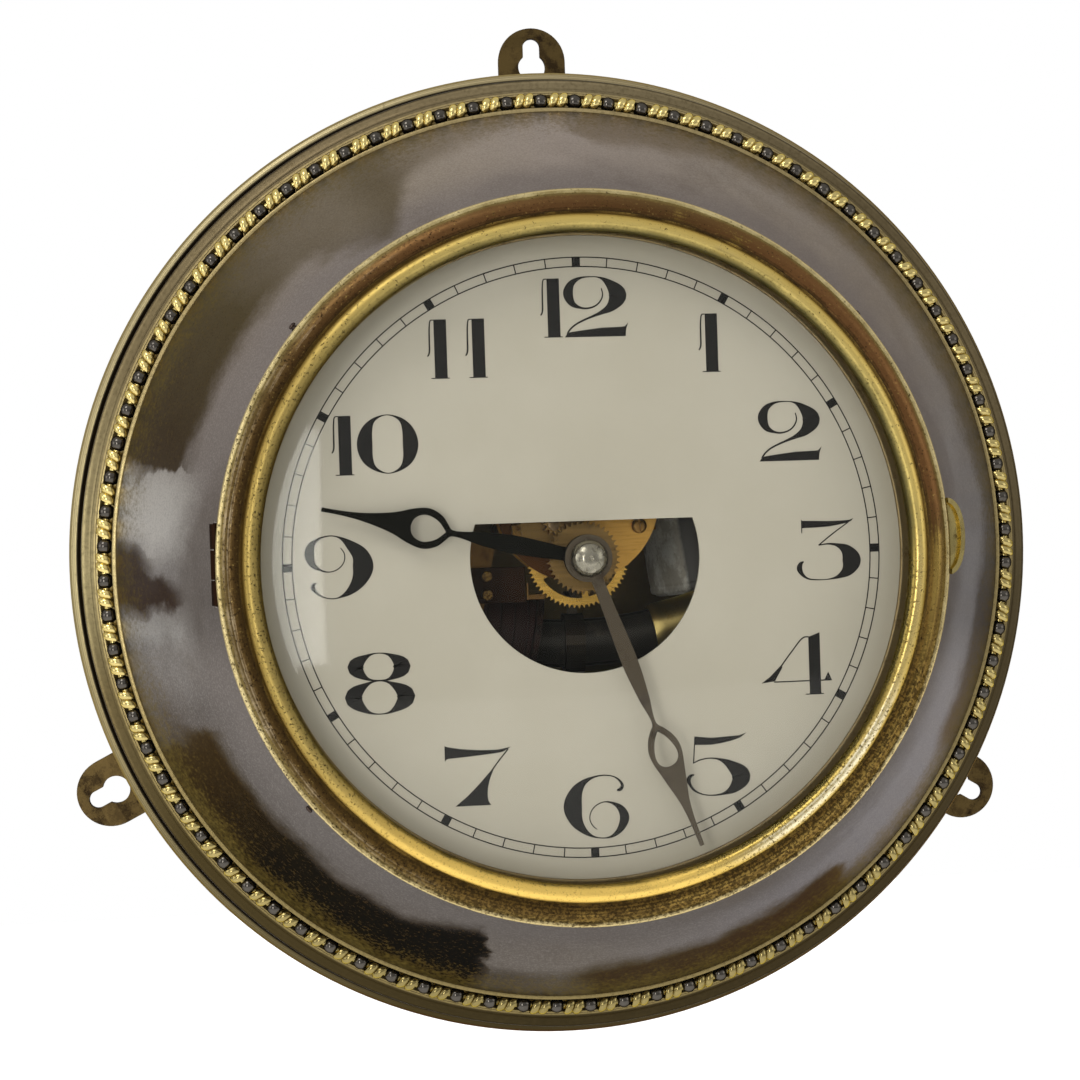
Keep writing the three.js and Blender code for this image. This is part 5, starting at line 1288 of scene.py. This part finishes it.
# Bezel
def bezel():
    roll = arc((75.2, -105.2), 2.1, 180, 335, 22)
    profile = [
        (73.2, -104.3), *roll, (77.5, -105.0), (78.0, -105.15), (79.6, -105.45), (80.9, -105.0),
        (81.7, -104.35), (82.0, -104.1), (82.35, -104.15), (82.8, -104.05), (83.15, -103.6),
        (BEZEL_RADIUS, -103.0), (83.0, BEZEL_BACK), (77.4, BEZEL_BACK), (77.4, -104.3),
    ]
    piece("bezel_brass", turned(profile), "bezel", BEZEL, ["bezel_ring"])
    shares = [k / 24 for k in range(25)]
    front = [(GLASS_RADIUS * s, GLASS_RIM - GLASS_RISE * (1 - s * s)) for s in shares]
    back = [(radius, y + GLASS_THICKNESS) for radius, y in front]
    flat = [(77.1, GLASS_RIM), (77.1, GLASS_RIM + GLASS_THICKNESS)]
    piece("domed_glass", turned([*front, *flat, *back[::-1]], 144), "bezel", GLASS, ["glass"])
    retainer = collar(CENTRE, 75.4, 77.1, -102.5, -101.7, 0.1, 180)
    piece("retainer_ring", retainer, "bezel", PATINA, ["glass_retainer"])

    def bow(inset):
        angles = [math.pi * i / 36 for i in range(37)]
        return [
            (80.7 + (5.9 - inset) * math.sin(angle) ** 0.6, 2.2 - (9 - inset) * math.cos(angle))
            for angle in angles
        ]

    inner = slab(bow(1.0), -105.6, 2.6)
    around = pin(CENTRE, 83.5, -120, -90, 0.1, STEPS)
    lip = carved(slab(bow(0), -104.3, 2.2), [inner, around])
    piece("thumb_catch", lip, "bezel", GILT, ["catch_lip"], edge=0.16)


# Hands
def hand(widths, eye, front, bore, angle):
    """A pear-shaped hand: half widths along the blade, and half widths along its eye."""
    right = [tuple(point) for point in smooth_path([(half, along) for along, half in widths], 5)]
    left = [(-x, z) for x, z in right[::-1]]
    shoulder = math.degrees(math.asin(right[0][0] / BOSS_RADIUS))
    boss = [polar(BOSS_RADIUS, 360 - shoulder - (360 - 2 * shoulder) * k / 48) for k in range(49)]
    eye_side = [tuple(point) for point in smooth_path([(half, along) for along, half in eye], 5)]
    hole = eye_side + [(-x, z) for x, z in eye_side[-2:0:-1]]
    return slab(boss + right + left, front, 0.6, [hole, circle(CENTRE, bore, 32)]).moved(at_angle(angle))


def hands():
    minute = hand(
        [(6.5, 1.35), (14, 1.55), (26, 1.85), (34, 1.25), (40.6, 0.5), (42, 1.6), (44, 2.9), (46.5, 3.7),
         (49, 3.6), (52, 2.9), (55, 2.2), (59.6, 1.15), (63.6, 0.7), (70.5, 0.5)],
        [(42.4, 0), (44, 1.25), (46, 2.15), (48, 2.6), (49.5, 2.35), (50.6, 1.4), (51, 0)],
        -101.6, 1.2, MINUTE_ANGLE,
    )
    piece("minute_blade", minute, "centre_train", MINUTE_BROWN, ["minute_hand"], edge=0.12)
    hour = hand(
        [(6.5, 1.6), (10, 1.85), (17, 2.1), (24, 1.6), (31.4, 0.75), (32.4, 1.7), (34.1, 3.5), (37.2, 4.65),
         (40.9, 3.95), (44.1, 2.65), (47.9, 1.65), (53, 0.8), (58, 0.5), (61.2, 0.5)],
        [(32.7, 0), (34.5, 1.9), (36, 2.7), (37.6, 3.05), (39.3, 2.6), (40.4, 1.5), (40.8, 0)],
        -98.6, 2.1, HOUR_ANGLE,
    )
    piece("hour_blade", hour, "hour_train", HOUR_BLACK, ["hour_hand"], edge=0.12)
    nut = [
        (0, -105.15), (0.35, -105.2), (0.55, -105.48), (1.7, -105.3), (2.6, -104.9), (3.3, -104.4),
        (3.85, -103.7), (4.15, -102.9), (4.3, -102.2), (4.25, -101.9), (1.2, -101.9), (1.2, -103.4),
        (0, -103.4),
    ]
    piece("cap_nut", lathe(nut, 0.25, 64, corner_steps=3), "centre_train", NUT, ["hand_nut"])


# Movement
def toothed(teeth, module, phase):
    """The outline of a toothed wheel about its own centre."""
    pitch_radius = teeth * module / 2
    tip, root = pitch_radius + 0.8 * module, pitch_radius - 1.1 * module
    height = tip - root
    outline = []
    for i in range(teeth):
        for place, radius in (
            (-0.3, root), (-0.2, root + 0.4 * height), (-0.1, root + 0.75 * height), (-0.035, tip),
            (0.035, tip), (0.1, root + 0.75 * height), (0.2, root + 0.4 * height), (0.3, root),
        ):
            outline.append(polar(radius, phase + (i + place) * 360 / teeth))
    return outline


def ratchet(teeth, radius, depth):
    outline = []
    for i in range(teeth):
        outline += [polar(radius, i * 360 / teeth), polar(radius - depth, (i + 0.15) * 360 / teeth)]
    return outline


def spokes(count, inner, outer, width, phase):
    """The openings between a wheel's spokes."""
    holes = []
    step = 360 / count
    for i in range(count):
        points = []
        for radius, order in ((inner, range(7)), (outer, range(12, -1, -1))):
            last = 6 if radius == inner else 12
            gap = math.degrees(math.asin(width / 2 / radius))
            start = phase + i * step + gap
            points += [polar(radius, start + (step - 2 * gap) * k / last) for k in order]
        holes.append(eased(points, 0.25, 2))
    return holes


def mesh_phase(teeth, phase, direction, other_teeth):
    """The phase that puts a gap of the other wheel opposite a tooth of this one."""
    share = (direction - phase) * teeth / 360
    return direction + 180 - (0.5 - share) * 360 / other_teeth


def wheel(outline, place, front, thickness, holes=()):
    shift = Matrix.Translation((place[0], 0, place[1]))
    return slab(outline, front, thickness, holes).moved(shift)


def plates():
    """The two round plates. The back one has an arm up to the suspension."""
    holes = [circle(CENTRE, 1.0, 24), circle(INTERMEDIATE, 0.8, 20), circle(COUNT, 0.8, 20)]
    holes += [circle(place, 1.4, 20) for place in PILLARS.values()]
    front = slab(circle(PLATE_CENTRE, PLATE_RADIUS, 120), FRONT_PLATE, PLATE, holes)
    piece("plate_front", front, "case", PLATE_BRASS, ["front_plate"], edge=0.12)
    half = math.degrees(math.asin(ARM_HALF / PLATE_RADIUS))
    curve = [polar(PLATE_RADIUS, half + (360 - 2 * half) * k / 110) for k in range(111)]
    outline = [(x, z + PLATE_CENTRE[1]) for x, z in curve]
    outline += [(-ARM_HALF, 95), (-ARM_HALF + 1, 96), (ARM_HALF - 1, 96), (ARM_HALF, 95)]
    back = slab(outline, BACK_PLATE, PLATE, holes)
    piece("plate_back", back, "case", MOVEMENT_BRASS, ["back_plate"], edge=0.12)


def pillars():
    """The three pillars, each with a screw in its front end."""
    outline = [
        (0, -81.6), (1.1, -81.6), (1.1, -80.7), (1.9, -80.7), (1.9, -77.5), (1.6, -77.0), (1.6, -73.5),
        (1.9, -73.0), (1.9, -69.3), (1.1, -69.3), (1.1, -67.2), (1.9, -67.2), (1.9, -60.0),
        (1.6, -59.4), (1.6, -10.5), (1.9, -9.8), (1.9, -3.0), (0, -3.0),
    ]
    head = lathe([(0, -1.2), (1.2, -1.15), (1.8, -0.8), (1.8, -0.3), (0, -0.3)], 0.12, 28)
    shank = turned([(0, -0.4), (0.9, -0.4), (0.9, 0.6), (0, 0.6)], 20)
    pattern = slotted(head, shank, block(-2.2, 2.2, -1.5, -0.75, -0.2, 0.2))
    for number, (side, place) in enumerate(PILLARS.items()):
        post = lathe(outline, 0.1, 28, place)
        piece(f"pillar_post_{side}", post, "case", MOVEMENT_BRASS, [f"pillar_{side}"])
        screw = pattern.copy()
        slot_angle = at_angle(35 + 50 * number)
        screw.transform(Matrix.Translation((place[0], FRONT_PLATE, place[1])) @ slot_angle)
        nodes = [f"plate_screw_{side}"]
        piece(f"plate_screw_head_{side}", screw, "case", SCREW_BRASS, nodes, sharp=30)


def centre_train():
    """The arbor that turns once an hour, its wheel and the cannon pinion."""
    arbor = pin(CENTRE, 0.9, -103.7, -67.7, 0.15, 24)
    piece("arbor_centre", arbor, "centre_train", STEEL, ["centre_arbor"])
    gaps = spokes(5, 3.4, 10.02, 1.5, 27) + [circle(CENTRE, 1.0, 24)]
    centre = wheel(toothed(CENTRE_TEETH, CENTRE_MODULE, 0), CENTRE, -79.0, 0.8, gaps)
    centre += collars(1.0, 2.2, (-79.8, -79.0), (-78.2, -77.4))
    piece("wheel_centre", centre, "centre_train", WHEEL_GILT, ["centre_wheel"], edge=0.05)
    cannon = wheel(toothed(CANNON_LEAVES, MOTION_MODULE, 0), CENTRE, -87.4, 2.6, [circle(CENTRE, 1.2, 24)])
    cannon += collars(1.2, 1.8, (-100.7, -87.4), (-84.8, -82.8), ease=0.1)
    piece("pinion_cannon", cannon, "centre_train", BROWNED_STEEL, ["cannon_pinion"], edge=0.05)


def motion_work():
    """The minute wheel on its post, and the hour wheel with its pipe."""
    minute_phase = mesh_phase(CANNON_LEAVES, 0, POST_ANGLE, MINUTE_TEETH)
    hour_phase = mesh_phase(MINUTE_LEAVES, minute_phase, POST_ANGLE + 180, HOUR_TEETH)
    bore = [circle(CENTRE, 0.78, 20)]
    minute = wheel(toothed(MINUTE_TEETH, MOTION_MODULE, minute_phase), MINUTE_POST, -86.5, 0.8, bore)
    minute += wheel(toothed(MINUTE_LEAVES, HOUR_MODULE, minute_phase), MINUTE_POST, -91.4, 4.9, bore)
    piece("wheel_minute", minute, "minute_wheel", MOTION_BRASS, ["minute_wheel"], edge=0.05)
    post = pin(MINUTE_POST, 0.7, -91.9, -82.8, 0.1, 20)
    post += pin(MINUTE_POST, 1.3, -92.4, -91.7, 0.15, 24) + pin(MINUTE_POST, 1.3, -85.4, -82.8, 0.1, 24)
    piece("post_minute", post, "case", BROWNED_STEEL, ["minute_wheel_post"])
    hour = wheel(toothed(HOUR_TEETH, HOUR_MODULE, hour_phase), CENTRE, -91.0, 0.8, [circle(CENTRE, 2.1, 32)])
    hour += collars(2.1, 2.8, (-97.7, -91.0), (-90.2, -89.6), steps=32)
    piece("wheel_hour", hour, "hour_train", MOTION_BRASS, ["hour_wheel"], edge=0.05)


def going_train():
    """The intermediate wheel and the count wheel, each with its pinion."""
    pinion_phase = mesh_phase(CENTRE_TEETH, 0, 0, LEAVES)
    gaps = spokes(4, 3.0, 8.6, 1.4, 45)
    middle = wheel(toothed(MIDDLE_TEETH, MIDDLE_MODULE, 0), INTERMEDIATE, -76.0, 0.8, gaps)
    middle += wheel(toothed(LEAVES, CENTRE_MODULE, pinion_phase), INTERMEDIATE, -79.8, 2.4)
    middle += pin(INTERMEDIATE, 0.7, -82.3, -67.7, 0.15, 20)
    piece("wheel_intermediate", middle, "intermediate_wheel", WHEEL_GILT,
          ["intermediate_wheel"], edge=0.04)
    pinion_phase = mesh_phase(MIDDLE_TEETH, 0, COUNT_ANGLE, LEAVES)
    counting = wheel(ratchet(72, 10.5, 0.6), COUNT, -72.4, 0.8, spokes(4, 2.6, 8.4, 1.3, 10))
    counting += wheel(toothed(LEAVES, MIDDLE_MODULE, pinion_phase), COUNT, -76.8, 2.4)
    counting += pin(COUNT, 0.7, -82.3, -67.7, 0.15, 20)
    piece("wheel_count", counting, "count_wheel", STEEL, ["count_wheel"], edge=0.04)


# Pendulum and drive
def on_swing(angle):
    """The point of the magnet's arc at an angle from straight down."""
    x, z = polar(SWING_LENGTH, 180 - angle)
    return x, SWING_Y, SUSPENSION + z


def bent_sleeve():
    """A thin sleeve on the magnet's right arm, with its ends turned in a little."""
    low, high = SLEEVE_ANGLES
    count = 14
    sides = 40
    loop = [
        (low + (high - low) * k / count, SLEEVE_RADIUS if 0 < k < count else SLEEVE_RADIUS - 0.25)
        for k in range(count + 1)
    ]
    loop += [(angle, SLEEVE_BORE) for angle, _ in loop[::-1]]
    corners = []
    for angle, radius in loop:
        outward = Vector((math.sin(math.radians(angle)), 0, -math.cos(math.radians(angle))))
        for k in range(sides):
            turn = TAU * k / sides
            across = outward * math.cos(turn) + Vector((0, 1, 0)) * math.sin(turn)
            corners.append(Vector(on_swing(angle)) + across * radius)
    faces = []
    for i in range(len(loop)):
        near, far = i * sides, (i + 1) % len(loop) * sides
        for k in range(sides):
            n = (k + 1) % sides
            faces.append((near + k, near + n, far + n, far + k))
    return Form(corners, faces)


def pendulum():
    left, right = MAGNET_ANGLES
    ends = [(0.0, 3.6), (0.12, 4.9), (0.4, 5.7), (0.8, MAGNET_RADIUS)]
    stations = [(left + share, radius) for share, radius in ends]
    stations += [(left + (right - left) * k / 40, MAGNET_RADIUS) for k in range(2, 39)]
    stations += [(right - share, radius) for share, radius in ends[::-1]]
    magnet = tube([on_swing(angle) for angle, _ in stations], [radius for _, radius in stations], 32)
    piece("magnet_bar", magnet, "pendulum", MAGNET, ["bar_magnet"])
    piece("sleeve_brass", bent_sleeve(), "pendulum", SLEEVE_GILT, ["magnet_sleeve"])
    ridges = [polar(4.0 if k % 2 else 3.72, k * 360 / 96) for k in range(96)]
    nut = slab(ridges, 0.0, 3.0, [circle(CENTRE, 1.35, 24)])
    nut = nut.moved(Matrix.Translation((0, SWING_Y, RATING_NUT_TOP)) @ turn_about("X", -90))
    piece("nut_rating", nut, "rating_nut", MOVEMENT_BRASS, ["rating_nut"], edge=0.1)


def coil():
    """The coil's bobbin and its taped winding, across the magnet's arc."""
    hung = Matrix.Translation((0, SWING_Y, SUSPENSION)) @ at_angle(COIL_ANGLE)
    hung = hung @ Matrix.Translation((0, 0, -COIL_DROP))
    lie = hung @ turn_about("Z", -90)
    bobbin = turned(eased([
        (7.3, -13.5), (12.8, -13.5), (12.8, -12.0), (8.1, -12.0), (8.1, 12.0), (12.8, 12.0), (12.8, 13.5),
        (7.3, 13.5),
    ], 0.2, 2), 64).moved(lie)
    piece("bobbin_board", bobbin, "case", BOBBIN, ["coil_bobbin"])
    wraps = [(11.9 - (0.22 if k % 3 == 0 else 0.0), -11.7 + 23.4 * k / 24) for k in range(25)]
    winding = turned([(8.4, -11.7), *wraps, (8.4, 11.7)], 64).moved(lie)
    piece("winding_tape", winding, "case", TAPE, ["coil_winding"], sharp=60)


def cell():
    """The dry cell: a crimped can with its cap."""
    stand = Matrix.Translation(CELL_CENTRE) @ at_angle(CELL_TILT) @ turn_about("X", -90)
    can = [
        (0, 25.0), (11.6, 25.0), (12.0, 24.6), (12.2, 24.2), (12.7, 24.4), (13.0, 23.9), (13.0, 23.0),
        (12.85, 22.4), (13.0, 21.8), (13.0, -21.8), (12.85, -22.4), (13.0, -23.0), (13.0, -24.0),
        (12.7, -24.6), (12.2, -24.4), (11.8, -24.0), (3.4, -24.2), (3.2, -24.4), (3.2, -26.2),
        (2.8, -26.6), (0, -26.6),
    ]
    piece("dry_cell", lathe(can, 0.1, 64).moved(stand), "case", CELL, ["battery"])


def leads():
    """The two wires, through (x, depth behind the dial, z) points."""
    to_coil = [
        (37.6, 60, -11.4), (38, 60, -18), (33, 64, -34), (14, 68, -46), (-12, 66, -48), (-34, 56, -40),
        (-41, 44, -29), (-40, 36, -24.5),
    ]
    to_plate = [(30.2, 60, 41), (29.6, 59, 46), (22, 54, 48), (15.5, 44, 42), (13, 34, 31), (11, 28.4, 23)]
    for name, points, node in (
        ("coil_wire", to_coil, "lead_to_coil"),
        ("plate_wire", to_plate, "lead_to_plate"),
    ):
        path = smooth_path([(x, DIAL_Y + depth, z) for x, depth, z in points], 8)
        wire = piece(name, tube(path, WIRE_RADIUS, 12), "case", COVER, [node])


for make in (
    front_shell, bead_band, rear_pan, lugs, dial_surround, dial, bezel, hands, plates, pillars,
    centre_train, motion_work, going_train, pendulum, coil, cell, leads,
):
    make()
for finish, edge, nodes in (
    (STEEL, 0.05, ("click", "click_post", "gathering_pawl", "suspension_spring")),
    (MOVEMENT_BRASS, 0.2, ("suspension_cock",)),
    (MOVEMENT_BRASS, 0.12, ("battery_clip",)),
    (MOVEMENT_BRASS, 0.08, ("catch_spring",)),
    (BLACKED, 0.1, ("pendulum_rod",)),
    (BRACKET_BROWN, 0.15, ("coil_bracket",)),
    (BRACKET_BROWN, 0.06, ("contact_spring",)),
    (FIBRE, 0.2, ("contact_block",)),
    (HINGE_BROWN, 0.08, ("case_hinge_leaf", "bezel_hinge_leaf")),
    (HINGE_BROWN, 0.1, ("hinge_pin",)),
):
    for node in nodes:
        keep(node, finish, edge)


# Studio
def studio_world():
    """Even light, and white wherever the camera, metal or glass sees the room straight ahead."""
    world = bpy.data.worlds.new("studio")
    bpy.context.scene.world = world
    world.use_nodes = True
    bench = Bench(world.node_tree)
    rays = bench.node("ShaderNodeLightPath", output="Is Camera Ray")
    direction = bench.node("ShaderNodeTexCoord", output="Generated")
    sideways = bench.node("ShaderNodeSeparateXYZ", inputs={0: direction})
    stops = [(0.0, 0.38), (0.45, 0.62), (0.7, 0.95), (1.0, 1.0)]
    room = bench.node("ShaderNodeValToRGB", {"stops": stops}, {0: sideways.out("Z") * 0.5 + 0.5})
    behind = {"Value": sideways.out("Y"), "From Min": 0.6, "From Max": 0.85}
    behind = bench.node("ShaderNodeMapRange", {"interpolation_type": "SMOOTHSTEP"}, behind)
    shiny = rays.out("Is Glossy Ray") + rays.out("Is Transmission Ray")
    shiny = bench.reckon("MINIMUM", shiny, 1.0)
    seen = bench.reckon("MINIMUM", rays + shiny * behind, 1.0)
    strength = seen + (1 - seen) * room * (DAYLIGHT + shiny * (ROOM - DAYLIGHT))
    light = bench.node("ShaderNodeBackground", inputs={"Color": (1.0, 1.0, 1.0), "Strength": strength})
    bench.node("ShaderNodeOutputWorld", inputs={"Surface": light})


def studio_floor():
    """A pale floor below the clock, which keeps its shadow and shows white to the camera."""
    floor = Finish("pale_floor")
    grain = floor.cloud(40, 3.0)
    tone = floor.mix(grain, (0.88, 0.88, 0.88), (0.92, 0.92, 0.92))
    seen = floor.node("ShaderNodeLightPath", output="Is Camera Ray")
    seen = seen + seen.out("Is Glossy Ray") + seen.out("Is Transmission Ray")
    glow = floor.mix(floor.reckon("MINIMUM", seen, 1.0), (0, 0, 0), (1, 1, 1))
    surface = floor.coated(base_color=tone, roughness=0.8, emission_color=glow, emission_strength=0.45)
    signs = ((-1, -1), (1, -1), (1, 1), (-1, 1))
    corners = [(across * FLOOR_HALF, along * FLOOR_HALF, FLOOR_HEIGHT) for across, along in signs]
    mesh = mesh_of(Form(corners, [(0, 1, 2, 3)]))
    mesh.transform(Matrix.Scale(MM, 4))
    mesh.materials.append(surface)
    in_scene("pale_floor", mesh)


def lamps():
    """Soft square lamps: each one's place in metres, width, height and power."""
    for name, place, width, height, power in (
        ("key_lamp", (-0.8, -1.1, 1.3), 0.7, 0.7, 9),
        ("left_lamp", (-1.3, -0.5, 0.15), 0.6, 0.7, 2.5),
        ("window_lamp", (-0.62, -1.35, 0.02), 0.22, 0.6, 4),
        ("fill_lamp", (1.4, -0.9, 0.3), 0.8, 0.8, 3),
    ):
        light = bpy.data.lights.new(name, "AREA")
        light.shape = "RECTANGLE"
        light.size = width
        light.size_y = height
        light.energy = power
        item = in_scene(name, light)
        item.location = place
        item.rotation_euler = (LAMP_AIM - Vector(place)).to_track_quat("-Z", "Y").to_euler()


def camera():
    """The photograph's point of view, in metres."""
    view = bpy.data.cameras.new("camera")
    view.lens = 53.893
    view.sensor_width = 36
    view.clip_start = 0.01
    holder = in_scene("camera", view)
    holder.matrix_world = Matrix((
        (0.99555, 0.03414, -0.08786, -0.0430),
        (-0.08818, 0.00797, -0.99607, -0.4648),
        (-0.03331, 0.99939, 0.01095, 0.0085),
        (0.0, 0.0, 0.0, 1.0),
    ))
    bpy.context.scene.camera = holder
    bpy.context.scene.view_settings.view_transform = "Standard"


studio_world()
studio_floor()
lamps()
camera()
